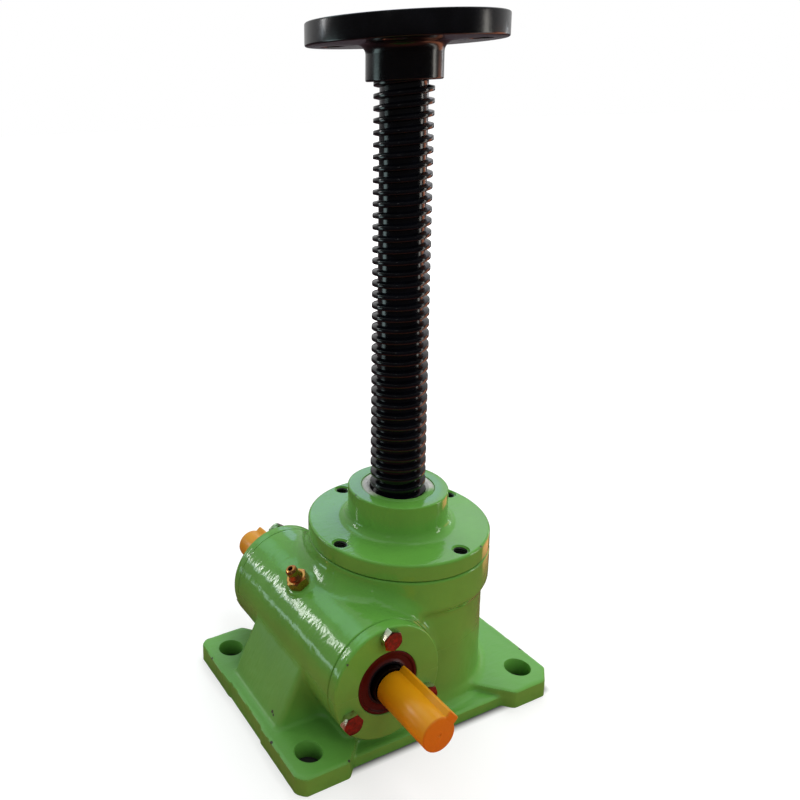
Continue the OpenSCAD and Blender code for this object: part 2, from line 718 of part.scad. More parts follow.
module bearing_cage(side) color(brass) difference() {
    on_worm(side) {
        l = roller_l / 2 + 0.9;
        lathe([on_roller(-l, -0.1), on_roller(-l, 0.9), on_roller(l, 0.9), on_roller(l, -0.1)]);
    }
    roller_places(side) translate([0, 0, -roller_l / 2 - 0.15])
        cylinder(h = roller_l + 0.3, r1 = roller_big_r + 0.15, r2 = roller_small_r + 0.15, $fn = 24);
}

module front_bearing_cup() bearing_cup("front");
module front_bearing_cone() bearing_cone("front");
module front_bearing_rollers() bearing_rollers("front");
module front_bearing_cage() bearing_cage("front");
module rear_bearing_cup() bearing_cup("rear");
module rear_bearing_cone() bearing_cone("rear");
module rear_bearing_rollers() bearing_rollers("rear");
module rear_bearing_cage() bearing_cage("rear");

// ---------- worm covers ----------

module worm_cover(side) color(paint) difference() {
    on_worm(side) {
        r = tunnel_d / 2;
        sr = seal_outer_d / 2 + seat_gap;
        lathe(concat(
            [[seat_r + 2, brg_out_y], [brg_or - seat_gap, brg_out_y], [brg_or - seat_gap, cover_y],
             [r - 0.3, cover_y], [r, cover_y + 0.3]],
            arc(r - 0.9, cover_face_y - 0.9, 0.9, 0, 90, 4),
            [[sr + 0.5, cover_face_y], [sr, cover_face_y - 0.5], [sr, seal_y],
             [seat_r + 2, seal_y]]));
    }
    cover_bolt_places(side) translate([0, 0, cover_y - 1])
        cylinder(h = cover_t + 2, r = bolt_d / 2 + 0.3);
}

module cover_shim(side) color(felt) difference() {
    on_worm(side) ring(brg_or + 0.2, tunnel_d / 2 - 0.6, shim_t, face_y);
    cover_bolt_places(side) translate([0, 0, face_y - 1]) cylinder(h = 4, r = bolt_d / 2 + 0.3);
}

module cover_bolts(side) color(zinc) cover_bolt_places(side) translate([0, 0, cover_face_y]) {
    translate([0, 0, -bolt_l]) cylinder(h = bolt_l + eps, r = bolt_d / 2);
    intersection() {
        cylinder(h = bolt_head_h, d = bolt_af / cos(30), $fn = 6);
        cylinder(h = bolt_head_h, r1 = bolt_af / 2 + 3.4, r2 = bolt_af / 2 - 0.1);
    }
}

module shaft_seal(side) color(rubber) on_worm(side) {
    z = seal_y;
    h = seal_w;
    lip = seat_r + turn_gap;
    or = seal_outer_d / 2;
    lathe([[or - 0.4, z], [or, z + 0.6], [or, z + h - 0.4], [or - 0.4, z + h], [or - 1.2, z + h],
           [or - 2, z + h - 0.6], [lip + 2.2, z + h - 0.8], [lip + 1, z + h], [lip, z + h - 0.6],
           [lip + 0.9, z + h - 2], [lip, z + 2.6], [lip + 1.2, z + 0.8], [lip + 2.4, z + 1.2],
           [lip + 2.8, z + 2.6], [or - 1.4, z + 2.6], [or - 1.8, z]]);
}

module front_worm_cover() worm_cover("front");
module rear_worm_cover() worm_cover("rear");
module front_cover_shim() cover_shim("front");
module rear_cover_shim() cover_shim("rear");
module front_cover_bolts() cover_bolts("front");
module rear_cover_bolts() cover_bolts("rear");
module front_shaft_seal() shaft_seal("front");
module rear_shaft_seal() shaft_seal("rear");

// ---------- shaft caps ----------

// Outline of the cap: a round tube with a ridge over the key
module cap_outline(r, ridge_r, ridge_half) {
    circle(r = r);
    rotate([0, 0, key_turn]) translate([0, -ridge_half]) square([ridge_r, 2 * ridge_half]);
}

module shaft_cap(side) color(plastic) on_worm(side) {
    ri = shaft_end_r + turn_gap;
    ridge_ri = shaft_end_r - key_sink + key_w + 1;
    ridge_half = key_w / 2 + 0.2;
    y0 = land_y + cap_gap_y;
    y1 = shaft_tip_y + 0.4;
    translate([0, 0, y0]) linear_extrude(y1 - y0) difference() {
        cap_outline(ri + cap_wall, ridge_ri + cap_wall, ridge_half + cap_wall);
        cap_outline(ri, ridge_ri, ridge_half);
    }
    translate([0, 0, y1]) linear_extrude(cap_wall)
        cap_outline(ri + cap_wall, ridge_ri + cap_wall, ridge_half + cap_wall);
}
module front_shaft_cap() shaft_cap("front");
module rear_shaft_cap() shaft_cap("rear");

// ---------- the jack ----------

housing();
top_cover();
wiper_ring();
upper_guide_bush();
lower_guide_bush();
cover_lock_screw();
grease_nipple();
lifting_screw();
travel_stop_ring();
stop_ring_pin();
head_plate();
head_lock_screw();
worm_wheel();
upper_thrust_seat_race();
upper_thrust_wheel_race();
upper_thrust_balls();
upper_thrust_cage();
lower_thrust_seat_race();
lower_thrust_wheel_race();
lower_thrust_balls();
lower_thrust_cage();
worm_shaft();
front_bearing_cup();
front_bearing_cone();
front_bearing_rollers();
front_bearing_cage();
rear_bearing_cup();
rear_bearing_cone();
rear_bearing_rollers();
rear_bearing_cage();
front_worm_cover();
rear_worm_cover();
front_cover_shim();
rear_cover_shim();
front_cover_bolts();
rear_cover_bolts();
front_shaft_seal();
rear_shaft_seal();
front_key();
rear_key();
front_shaft_cap();
rear_shaft_cap();
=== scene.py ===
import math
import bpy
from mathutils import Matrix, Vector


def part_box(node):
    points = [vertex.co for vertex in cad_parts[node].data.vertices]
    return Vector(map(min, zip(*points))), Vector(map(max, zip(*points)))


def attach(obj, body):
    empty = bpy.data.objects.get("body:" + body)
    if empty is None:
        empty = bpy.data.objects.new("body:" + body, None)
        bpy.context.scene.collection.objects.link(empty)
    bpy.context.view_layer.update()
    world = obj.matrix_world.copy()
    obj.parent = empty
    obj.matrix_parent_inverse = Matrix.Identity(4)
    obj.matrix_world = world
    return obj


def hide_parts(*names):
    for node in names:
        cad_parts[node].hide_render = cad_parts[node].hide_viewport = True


bl_info = {
    "name": "Worm Screw Jack",
    "version": (1, 0, 0),
    "blender": (4, 5, 0),
    "location": "3D Viewport > Sidebar > Screw Jack",
    "description": "Builds the finished look of a worm screw jack round its engineering model",
    "category": "Object",
}

from functools import reduce
from types import SimpleNamespace

import bmesh
import bpy
from bpy.props import FloatProperty, FloatVectorProperty, IntProperty, PointerProperty
from mathutils import Matrix, Vector

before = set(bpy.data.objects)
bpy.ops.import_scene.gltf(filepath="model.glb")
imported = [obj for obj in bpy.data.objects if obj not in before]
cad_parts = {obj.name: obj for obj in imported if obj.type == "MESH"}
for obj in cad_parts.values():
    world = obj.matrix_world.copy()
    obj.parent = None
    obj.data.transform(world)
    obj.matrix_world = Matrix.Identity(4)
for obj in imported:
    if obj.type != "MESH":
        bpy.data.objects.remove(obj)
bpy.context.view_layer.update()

MM = 0.001
SMOOTH = 35.0          # degrees; sharper edges stay sharp
SIDES = ("front", "rear")


def box_mm(node):
    """The lowest and the highest corner of an engineering node, in millimetres."""
    return [SimpleNamespace(x=c.x / MM, y=c.y / MM, z=c.z / MM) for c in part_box(node)]


BASE_LOW, BASE_HIGH = box_mm("housing")
FLANGE_LOW, FLANGE_HIGH = box_mm("top_cover")
WORM_LOW, WORM_HIGH = box_mm("worm_shaft")
COVER_LOW, COVER_HIGH = box_mm("front_worm_cover")
SHIM_LOW, SHIM_HIGH = box_mm("front_cover_shim")
SEAL_LOW, SEAL_HIGH = box_mm("front_shaft_seal")
CAP_LOW, CAP_HIGH = box_mm("front_shaft_cap")
PLATE_LOW, PLATE_HIGH = box_mm("head_plate")
WIPER_LOW, WIPER_HIGH = box_mm("wiper_ring")
BUSH_LOW, BUSH_HIGH = box_mm("upper_guide_bush")

WORM_X = (WORM_LOW.x + WORM_HIGH.x) / 2
WORM_Z = (WORM_LOW.z + WORM_HIGH.z) / 2
CUP_R = box_mm("front_bearing_cup")[1].x - WORM_X

# sizes that the frame doesn't give, in millimetres
FIT = 0.05             # radial room round a piece that is fitted and stays put
SCREW_TAP = 3.05       # radius of the bores for the bolts and set screws of 6 mm
SCREW_BORE = 15.3      # radius of the bores that the lifting screw passes
SCREW_CREST, SCREW_ROOT = 15.0, 12.0
NECK_R = 11.5          # the screw's neck in the head plate
NECK_RISE = 8.4        # from the hub's lower face to the neck's shoulder
PLATE_T = 11.5         # thickness of the head plate
HUB_R = 19.0
BOSS_R, BOSS_H = 27.5, 20.0
SPIGOT_R = 41.0
FLANGE_GAP = 0.7       # the dark line between the collar and the flange
SOCKET_FLATS = 3.5     # width of the hexagon sockets of the set screws
NIPPLE_TILT, NIPPLE_Y = 30, 3.0

NIPPLE = (Matrix.Translation((WORM_X, NIPPLE_Y, WORM_Z))
          @ Matrix.Rotation(math.radians(-NIPPLE_TILT), 4, "Y"))
COVER_LOCK = (Matrix.Rotation(math.radians(62), 4, "Z") @ Matrix.Translation((0, 0, 77))
              @ Matrix.Rotation(math.radians(90), 4, "Y"))
HEAD_LOCK = (Matrix.Translation((0, 0, PLATE_LOW.z + NECK_RISE + 4.5))
             @ Matrix.Rotation(math.radians(-90), 4, "X"))


# ---------- node trees from expressions ----------

class Term:
    """A value in a node tree. Python operators on it add Math nodes."""

    def __init__(self, net, socket):
        self.net, self.socket = net, socket

    def math(self, operation, *values):
        inputs = dict(enumerate(values))
        return self.net.add("ShaderNodeMath", {"operation": operation}, inputs)[0]

    def __add__(self, other):
        return self.math("ADD", self, other)

    def __sub__(self, other):
        return self.math("SUBTRACT", self, other)

    def __rsub__(self, other):
        return self.math("SUBTRACT", other, self)

    def __mul__(self, other):
        return self.math("MULTIPLY", self, other)

    def __truediv__(self, other):
        return self.math("DIVIDE", self, other)

    def __neg__(self):
        return self * -1.0

    __radd__ = __add__
    __rmul__ = __mul__

    def least(self, other):
        return self.math("MINIMUM", self, other)

    def most(self, other):
        return self.math("MAXIMUM", self, other)

    def size(self):
        return self.math("ABSOLUTE", self)

    def root(self):
        return self.math("SQRT", self)

    def over(self, limit):
        return self.math("GREATER_THAN", self, limit)

    def ramp(self, low, high):
        """0 below low, 1 above high and a soft step between them."""
        return self.net.add("ShaderNodeMapRange", {"interpolation_type": "SMOOTHSTEP"},
                            {0: self, 1: low, 2: high, 3: 0.0, 4: 1.0})[0]


class Made:
    """A node that was added. Its outputs are read as terms by name or place."""

    def __init__(self, net, node):
        self.net, self.node = net, node

    def __getitem__(self, key):
        return Term(self.net, self.node.outputs[key])


class Net:
    """A node tree that is filled node by node."""

    def __init__(self, tree):
        self.tree = tree

    def add(self, kind, settings=None, inputs=None):
        node = self.tree.nodes.new(kind)
        for name, value in (settings or {}).items():
            if name == "stops":
                ramp = node.color_ramp
                while len(ramp.elements) < len(value):
                    ramp.elements.new(1.0)
                for element, (place, colour) in zip(ramp.elements, value):
                    element.position, element.color = place, colour
            else:
                setattr(node, name, value)
        for key, value in (inputs or {}).items():
            if isinstance(value, Made):
                value = value[0]
            if isinstance(value, Term):
                self.tree.links.new(value.socket, node.inputs[key])
            else:
                node.inputs[key].default_value = value
        return Made(self, node)

    def blend(self, factor, first, second):
        """A colour between two colours."""
        return self.add("ShaderNodeMix", {"data_type": "RGBA"}, {0: factor, 6: first, 7: second})[2]

    def noise(self, vector, scale, detail=2.0, roughness=0.5):
        return self.add("ShaderNodeTexNoise", None, {"Vector": vector, "Scale": scale,
                        "Detail": detail, "Roughness": roughness})[0]

    def axes(self, vector):
        """A vector's three parts."""
        made = self.add("ShaderNodeSeparateXYZ", None, {0: vector})
        return made["X"], made["Y"], made["Z"]

    def join(self, *parts):
        """A vector from three parts."""
        return self.add("ShaderNodeCombineXYZ", None, dict(enumerate(parts)))[0]

    def vector(self, operation, first, second):
        """Vector Math on two vectors, or on a vector and the number that scales it."""
        key = "Scale" if operation == "SCALE" else 1
        made = self.add("ShaderNodeVectorMath", {"operation": operation}, {0: first, key: second})
        return made["Value" if operation in ("DISTANCE", "DOT_PRODUCT") else "Vector"]

    def mapped(self, vector, scale):
        """Coordinates that are stretched along their axes."""
        return self.add("ShaderNodeMapping", None, {"Vector": vector, "Scale": scale})[0]

    def bump(self, height, distance):
        return self.add("ShaderNodeBump", None, {"Strength": 1.0, "Distance": distance,
                                                 "Height": height})[0]


def length(*parts):
    return reduce(Term.__add__, [part * part for part in parts]).root()


def round_union(first, second, radius):
    """Joins two distances with a concave fillet."""
    a = (radius - first).most(0.0)
    b = (radius - second).most(0.0)
    return first.least(second).most(radius) - length(a, b)


def round_common(first, second, radius):
    """What two distances share, with a rounded edge."""
    a = (first + radius).most(0.0)
    b = (second + radius).most(0.0)
    return first.most(second).least(-1.0 * radius) + length(a, b)


def paint_value(code):
    """A colour written as red, green and blue out of 255, as Blender stores it."""
    return tuple((c / 255 / 12.92) if c / 255 <= 0.04045 else ((c / 255 + 0.055) / 1.055) ** 2.4
                 for c in code)


# ---------- mesh tools; meshes are drawn in millimetres ----------

def arc(x, y, r, a0, a1, steps=6):
    return [(x + r * math.cos(math.radians(a0 + (a1 - a0) * i / steps)),
             y + r * math.sin(math.radians(a0 + (a1 - a0) * i / steps))) for i in range(steps + 1)]


def soften(corners, steps=5, closed=True):
    """A polyline of (x, y, radius) corners, each rounded to its radius."""
    out = []
    n = len(corners)
    for i, (x, y, r) in enumerate(corners):
        if r <= 0 or (not closed and i in (0, n - 1)):
            out.append((x, y))
            continue
        here = Vector((x, y))
        back = Vector(corners[i - 1][:2]) - here
        ahead = Vector(corners[(i + 1) % n][:2]) - here
        half = back.angle(ahead) / 2
        reach = min(r / math.tan(half), back.length * 0.49, ahead.length * 0.49)
        r = reach * math.tan(half)
        back.normalize()
        ahead.normalize()
        centre = here + (back + ahead).normalized() * (r / math.sin(half))
        start = (here + back * reach) - centre
        end = (here + ahead * reach) - centre
        turn = math.atan2(start.x * end.y - start.y * end.x, start.dot(end))
        for k in range(steps + 1):
            c, s = math.cos(turn * k / steps), math.sin(turn * k / steps)
            out.append((centre.x + start.x * c - start.y * s, centre.y + start.x * s + start.y * c))
    return out


def spun(r, i, n, z):
    """The point at radius r and height z on spoke i of n."""
    return r * math.cos(2 * math.pi * i / n), r * math.sin(2 * math.pi * i / n), z


def turned(profile, segments=96):
    """A lathe body about Z from (radius, height) points, closed at the axis or as a ring."""
    bm = bmesh.new()
    rings = [[bm.verts.new(spun(r, i, segments, z)) for i in range(1 if r < 1e-6 else segments)]
             for r, z in profile]
    pairs = list(zip(rings, rings[1:]))
    if len(rings[0]) > 1 and len(rings[-1]) > 1:
        pairs.append((rings[-1], rings[0]))
    for low, high in pairs:
        for i in range(segments):
            j = (i + 1) % segments
            loop = []
            for ring, place in ((low, i), (low, j), (high, j), (high, i)):
                v = ring[place % len(ring)]
                if v not in loop:
                    loop.append(v)
            if len(loop) > 2:
                bm.faces.new(loop)
    bmesh.ops.recalc_face_normals(bm, faces=bm.faces)
    return bm


def tube(r, z0, z1, segments=64):
    return turned([(0, z0), (r, z0), (r, z1), (0, z1)], segments)


def stacked(rings):
    """A closed body from rings of equal length, each a list of (x, y, z) points."""
    bm = bmesh.new()
    made = [[bm.verts.new(p) for p in ring] for ring in rings]
    n = len(rings[0])
    for low, high in zip(made, made[1:]):
        for i in range(n):
            bm.faces.new((low[i], low[(i + 1) % n], high[(i + 1) % n], high[i]))
    bm.faces.new(made[0][::-1])
    bm.faces.new(made[-1])
    bmesh.ops.recalc_face_normals(bm, faces=bm.faces)
    return bm


def raised(outline, z0, z1):
    return stacked([[(x, y, z0) for x, y in outline], [(x, y, z1) for x, y in outline]])


def hexagon_outline(flats, corner=0.25):
    r = flats / 2 / math.cos(math.pi / 6)
    return soften([(r * math.cos(math.pi / 3 * i), r * math.sin(math.pi / 3 * i), corner)
                   for i in range(6)], steps=3)


def helix(core, tooth, pitch, segments, z0, z1, middle, fade=0.25):
    """A closed screw thread with flat ends. tooth holds (offset, radius) points of one turn's
    section, from core up to the crest and back, symmetrical about the tooth's middle, which
    crosses angle 0 at the height middle."""
    m, n = len(tooth), segments
    half = -tooth[0][0]
    step = pitch / n
    margin = 0.05 * pitch
    first = middle - half + pitch * math.ceil((z0 + margin - middle + half) / pitch)
    turns = math.floor((z1 - margin - first - (n - 1) * step) / pitch)
    rows = m * turns
    bm = bmesh.new()

    def at(j, r, z):
        return bm.verts.new(spun(r, j, n, z))

    def radius(j, i):
        s = j + n * (i // m)
        tall = max(0.0, min(1.0, min(s, turns * n - 1 - s) / (fade * n)))
        return core + (tooth[i % m][1] - core) * tall

    base = [at(j, core, z0) for j in range(n)]
    top = [at(j, core, z1) for j in range(n)]
    body = [[at(j, radius(j, i), first + j * step + pitch * (i // m) + half + tooth[i % m][0])
             for i in range(rows)] for j in range(n)]
    face = bm.faces.new
    face(base[::-1])
    face(top)
    for j in range(n - 1):
        a, b = body[j], body[j + 1]
        face((base[j], base[j + 1], b[0], a[0]))
        for i in range(rows - 1):
            face((a[i], b[i], b[i + 1], a[i + 1]))
        face((a[-1], b[-1], top[j + 1], top[j]))

    # the seam, where each turn meets the next one's start
    a, b = body[n - 1], body[0]
    face((base[n - 1], base[0], b[0]))
    for i in range(m):
        face((base[n - 1], b[i], b[i + 1]))
    face((base[n - 1], b[m], a[0]))
    for i in range(rows - m - 1):
        face((a[i], b[i + m], b[i + m + 1], a[i + 1]))
    for i in range(rows - m - 1, rows - 1):
        face((a[i], b[rows - 1], a[i + 1]))
    face((a[rows - 1], b[rows - 1], top[n - 1]))
    face((b[rows - 1], top[0], top[n - 1]))
    bmesh.ops.recalc_face_normals(bm, faces=bm.faces)
    return bm


def worm_end(side):
    """Turns a body drawn along +Z so that it points out of one end of the worm tunnel."""
    out = -1 if side == "front" else 1
    return Matrix(((1, 0, 0, WORM_X), (0, 0, out, 0), (0, 1, 0, WORM_Z), (0, 0, 0, 1)))


def shifted(x, y):
    return Matrix.Translation((x, y, 0))


def on_circle(diameter, count, first=0.0):
    """Points set out evenly on a circle in the XY plane."""
    angles = [first + 2 * math.pi / count * k for k in range(count)]
    return [(diameter / 2 * math.cos(a), diameter / 2 * math.sin(a)) for a in angles]


def piece(name, bm, place=None, smooth=SMOOTH):
    """A named object at the origin from a body in millimetres."""
    if place is not None:
        bm.transform(place)
        if place.to_3x3().determinant() < 0:
            bmesh.ops.reverse_faces(bm, faces=bm.faces)
    bm.transform(Matrix.Scale(MM, 4))
    mesh = bpy.data.meshes.new(name)
    bm.to_mesh(mesh)
    bm.free()
    mesh.shade_smooth()
    mesh.set_sharp_from_angle(angle=math.radians(smooth))
    obj = bpy.data.objects.new(name, mesh)
    bpy.context.scene.collection.objects.link(obj)
    return obj


def settle(obj, smooth=SMOOTH):
    """Turns an object's modifiers into a plain mesh."""
    graph = bpy.context.evaluated_depsgraph_get()
    mesh = bpy.data.meshes.new_from_object(obj.evaluated_get(graph))
    old = obj.data
    obj.modifiers.clear()
    obj.data = mesh
    mesh.name = obj.name
    if old.users == 0:
        bpy.data.meshes.remove(old)
    if not mesh.polygons:
        raise RuntimeError(obj.name + " came out empty")
    mesh.shade_smooth()
    mesh.set_sharp_from_angle(angle=math.radians(smooth))
    return obj


def carve(obj, cutters, operation="DIFFERENCE", smooth=SMOOTH):
    """Cuts (body, place) pairs out of an object and clears them away."""
    tools = [piece("cutter", bm, place) for bm, place in cutters]
    for tool in tools:
        modifier = obj.modifiers.new("cut", "BOOLEAN")
        modifier.operation, modifier.solver, modifier.object = operation, "MANIFOLD", tool
    settle(obj, smooth)
    for tool in tools:
        mesh = tool.data
        bpy.data.objects.remove(tool)
        bpy.data.meshes.remove(mesh)
    return obj


def socket_screw(name, profile, floor, place):
    """A set screw with a hexagon socket that is sunk to the height floor."""
    top = profile[-1][1]
    return carve(piece(name, turned(profile, 48), place),
                 [(raised(hexagon_outline(SOCKET_FLATS, 0), floor, top + 1), place)])


def finish_piece(obj, body, slot, material, *nodes):
    obj.data.materials.clear()
    obj.data.materials.append(material)
    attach(obj, body)
    if nodes:
        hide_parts(*nodes)
    return obj


# ---------- finishes ----------

def finish(name):
    """A new material with its net, its shader node and its object coordinates."""
    old = bpy.data.materials.get(name)
    if old:
        bpy.data.materials.remove(old)
    material = bpy.data.materials.new(name)
    material.use_nodes = True
    net = Net(material.node_tree)
    shader = Made(net, material.node_tree.nodes["Principled BSDF"])
    place = net.add("ShaderNodeTexCoord")["Object"]
    return material, net, shader, place


def wire(net, shader, **values):
    """Links or sets sockets of the shader, which are named with _ for a space."""
    for key, value in values.items():
        socket = shader.node.inputs[key.replace("_", " ")]
        if isinstance(value, Term):
            net.tree.links.new(value.socket, socket)
        else:
            socket.default_value = value


def four(colour, factor=1.0):
    return tuple(min(1.0, c * factor) for c in colour) + (1.0,)


def enamel(name, colour, lumps, chips=(), unpainted_shaded_holes=()):
    """Glossy machine enamel. lumps is how strongly the sand-cast skin shows through, chips are
    (x, y, z, radius) spots where it broke off and the last argument gives (x, y, radius, top) holes
    without it, whose near-black tone is painted shade."""
    material, net, shader, place = finish(name)
    x, y, z = net.axes(place)
    drift = net.noise(place, 28.0, 3.0, 0.55)
    speck = net.noise(place, 900.0, 2.0, 0.6)
    tone = net.blend(drift.ramp(0.3, 0.7), four(colour, 0.93), four(colour, 1.06))
    tone = net.blend(speck.ramp(0.62, 0.8) * 0.25, tone, four(colour, 0.72))
    low = 1.0 - z.ramp(0.0, 0.012)
    dust = (low * net.noise(place, 160.0, 4.0, 0.6)).ramp(0.25, 0.75)
    tone = net.blend(dust * 0.35, tone, four(colour, 0.62))
    dull = 1.0 - z.ramp(0.034, 0.052)
    gloss = 0.10 + drift * 0.05 + dust * 0.1 + dull * 0.25
    ripple = net.mapped(place, (0.55, 1.6, 0.55))
    skin = (net.noise(ripple, 170.0, 2.0, 0.45) * 0.6 + net.noise(ripple, 400.0, 1.0, 0.4) * 0.8
            + net.noise(place, 60.0, 1.0, 0.4) * 0.7)
    height = skin * lumps
    if chips:
        ragged = net.noise(place, 1400.0, 3.0, 0.6) * 0.0014 - 0.0006
        worn = reduce(Term.most, [
            1.0 - (net.vector("DISTANCE", place, (cx * MM, cy * MM, cz * MM)) + ragged).ramp(
                r * MM, (r + 0.35) * MM) for cx, cy, cz, r in chips])
        tone = net.blend(worn, tone, (0.045, 0.04, 0.035, 1))
        gloss = gloss + worn * 0.4
        height = height - worn * 0.12
    # unpainted holes: the threads are bare metal, and their near-black tone is painted shade inside
    # the holes
    if unpainted_shaded_holes:
        unpainted_metal_and_shade = reduce(Term.most, [
            (1.0 - length(x - hx * MM, y - hy * MM).ramp((r - 0.05) * MM, (r + 0.15) * MM))
            * (1.0 - z.ramp((top - 0.25) * MM, top * MM)) for hx, hy, r, top in unpainted_shaded_holes])
        tone = net.blend(unpainted_metal_and_shade, tone, (0.012, 0.016, 0.010, 1))
        gloss = gloss + unpainted_metal_and_shade * 0.15
    wire(net, shader, Base_Color=tone, Roughness=gloss, Normal=net.bump(height, 0.00035), IOR=1.52)
    return material


def oxide(name, colour, rough):
    """Oiled black oxide on steel, blue-black where light catches it."""
    material, net, shader, place = finish(name)
    cloud = net.noise(place, 70.0, 3.0, 0.6)
    fine = net.noise(place, 1200.0, 2.0, 0.6)
    tone = net.blend(cloud.ramp(0.35, 0.65), four(colour, 0.7), four(colour, 1.5))
    height = fine * 0.25 + net.noise(place, 260.0, 2.0, 0.5) * 0.6
    wire(net, shader, Base_Color=tone, Roughness=rough + cloud * 0.06 + fine * 0.03,
         Normal=net.bump(height, 0.00005), IOR=1.45)
    return material


def metal(name, colour, rough, grain=900.0, axis=None, tarnish=0.15, painted_shade_reach=None):
    """Bare metal with turning or grinding marks across an axis and a little tarnish. The last
    argument is the distance along Y up to which it is painted near black as shade."""
    material, net, shader, place = finish(name)
    scale = {None: (1, 1, 1), "Y": (0.4, 9, 0.4), "Z": (0.4, 0.4, 9)}[axis]
    marks = net.noise(net.mapped(place, scale), grain, 3.0, 0.6)
    stain = net.noise(place, 90.0, 4.0, 0.6)
    tone = net.blend(stain.ramp(0.45, 0.75) * tarnish, four(colour), four(colour, 0.55))
    tone = net.blend(marks * 0.25, tone, four(colour, 0.75))
    # painted shade: near black along Y out to this reach, standing in for the shade on the shaft
    # between seal and cap
    if painted_shade_reach:
        beyond_painted_shade = net.axes(place)[1].size().ramp(painted_shade_reach - 0.0008, painted_shade_reach)
        tone = net.blend(1.0 - beyond_painted_shade, tone, (0.02, 0.014, 0.012, 1))
    wire(net, shader, Base_Color=tone, Roughness=rough + marks * 0.14 + stain * 0.08,
         Normal=net.bump(marks, 0.00002), Metallic=1.0)
    return material


def zinc(name, colour, end_colour, tip_y):
    """Yellow chromate on zinc, with green and red tinges, and a painted reddish reflection on the
    ends.
    """
    material, net, shader, place = finish(name)
    film = net.noise(place, 150.0, 2.0, 0.5)
    tone = net.add("ShaderNodeValToRGB", {"stops": [
        (0.32, (0.10, 0.16, 0.06, 1)), (0.46, four(colour)), (0.58, four(colour, 1.25)),
        (0.70, (0.45, 0.20, 0.10, 1))]}, {0: film})[0]
    # painted reflection: the bolts' ends are tinted red as the mirror image of a reddish floor
    end = net.axes(place)[1].size().ramp(tip_y - 0.0006, tip_y - 0.0002)
    end_reflection_mottle = net.noise(place, 420.0, 3.0, 0.65)
    red = net.blend(end_reflection_mottle.ramp(0.35, 0.7), four(end_colour, 0.55), four(end_colour, 1.5))
    tone = net.blend(end * (0.55 + film * 0.6).least(1.0), tone, red)
    scuff = net.noise(place, 700.0, 3.0, 0.6)
    wire(net, shader, Base_Color=tone, Roughness=0.16 + scuff * 0.16,
         Normal=net.bump(scuff, 0.00005), Metallic=1.0)
    return material


def rubber(name, colour, lip_r):
    """Moulded seal rubber that is black and glossy at the lip."""
    material, net, shader, place = finish(name)
    grain = net.noise(place, 1500.0, 3.0, 0.6)
    bloom = net.noise(place, 140.0, 3.0, 0.6)
    tone = net.blend(bloom.ramp(0.4, 0.75) * 0.5, four(colour), four(colour, 1.6))
    x, _, z = net.axes(place)
    lip = 1.0 - length(x - WORM_X * MM, z - WORM_Z * MM).ramp(lip_r * MM, (lip_r + 0.5) * MM)
    tone = net.blend(lip, tone, (0.006, 0.005, 0.007, 1))
    wire(net, shader, Base_Color=tone, Roughness=0.3 + grain * 0.16 - lip * 0.15,
         Normal=net.bump(grain, 0.00004), IOR=1.35)
    return material


def plastic(name, colour, end_colour, tip_y):
    """Soft moulded plastic, a little deeper in colour on its closed end."""
    material, net, shader, place = finish(name)
    end = net.axes(place)[1].size().ramp(tip_y - 0.0012, tip_y - 0.0002)
    mottle = net.noise(place, 180.0, 2.0, 0.5)
    tone = net.blend(mottle, four(colour, 0.93), four(colour, 1.05))
    tone = net.blend(end * 0.85, tone, four(end_colour))
    orange_peel = net.noise(place, 600.0, 2.0, 0.5)
    wire(net, shader, Base_Color=tone, Roughness=0.26 + mottle * 0.1,
         Normal=net.bump(orange_peel, 0.00006), IOR=1.46, Subsurface_Weight=0.15,
         Subsurface_Radius=(0.003, 0.0015, 0.0005))
    return material


def felt(name, colour, paint):
    """Pressed felt with some of the enamel on its front."""
    material, net, shader, place = finish(name)
    fibre = net.noise(place, 1300.0, 5.0, 0.7)
    patch = net.noise(place, 220.0, 3.0, 0.6)
    tone = net.blend(fibre.ramp(0.3, 0.7), four(colour, 0.8), four(colour, 1.12))
    tone = net.blend(patch.ramp(0.55, 0.8) * 0.35, tone, (0.10, 0.10, 0.09, 1))
    x, y, _ = net.axes(place)
    front = x * -0.30 + y * -0.95 + patch * 0.006
    rim = length(x, y).ramp(0.0185, 0.0205)
    spray = front.ramp(0.006, 0.014).most(rim * 0.85)
    tone = net.blend(spray, tone, four(paint, 0.95))
    wire(net, shader, Base_Color=tone, Roughness=0.55 + fibre * 0.2,
         Normal=net.bump(fibre, 0.00012))
    return material


# ---------- sizes and colours ----------

def size(name, description, default, low=0.0):
    """A length, with its default and its least value in millimetres."""
    return FloatProperty(name=name, description=description, default=default * MM, min=low * MM,
                         max=1.0, unit="LENGTH", subtype="DISTANCE", precision=4)


def angle(name, description, degrees):
    return FloatProperty(name=name, description=description, default=math.radians(degrees),
                         subtype="ANGLE")


def tint(name, description, code):
    return FloatVectorProperty(name=name, description=description, subtype="COLOR", size=3,
                               min=0.0, max=1.0, default=paint_value(code))


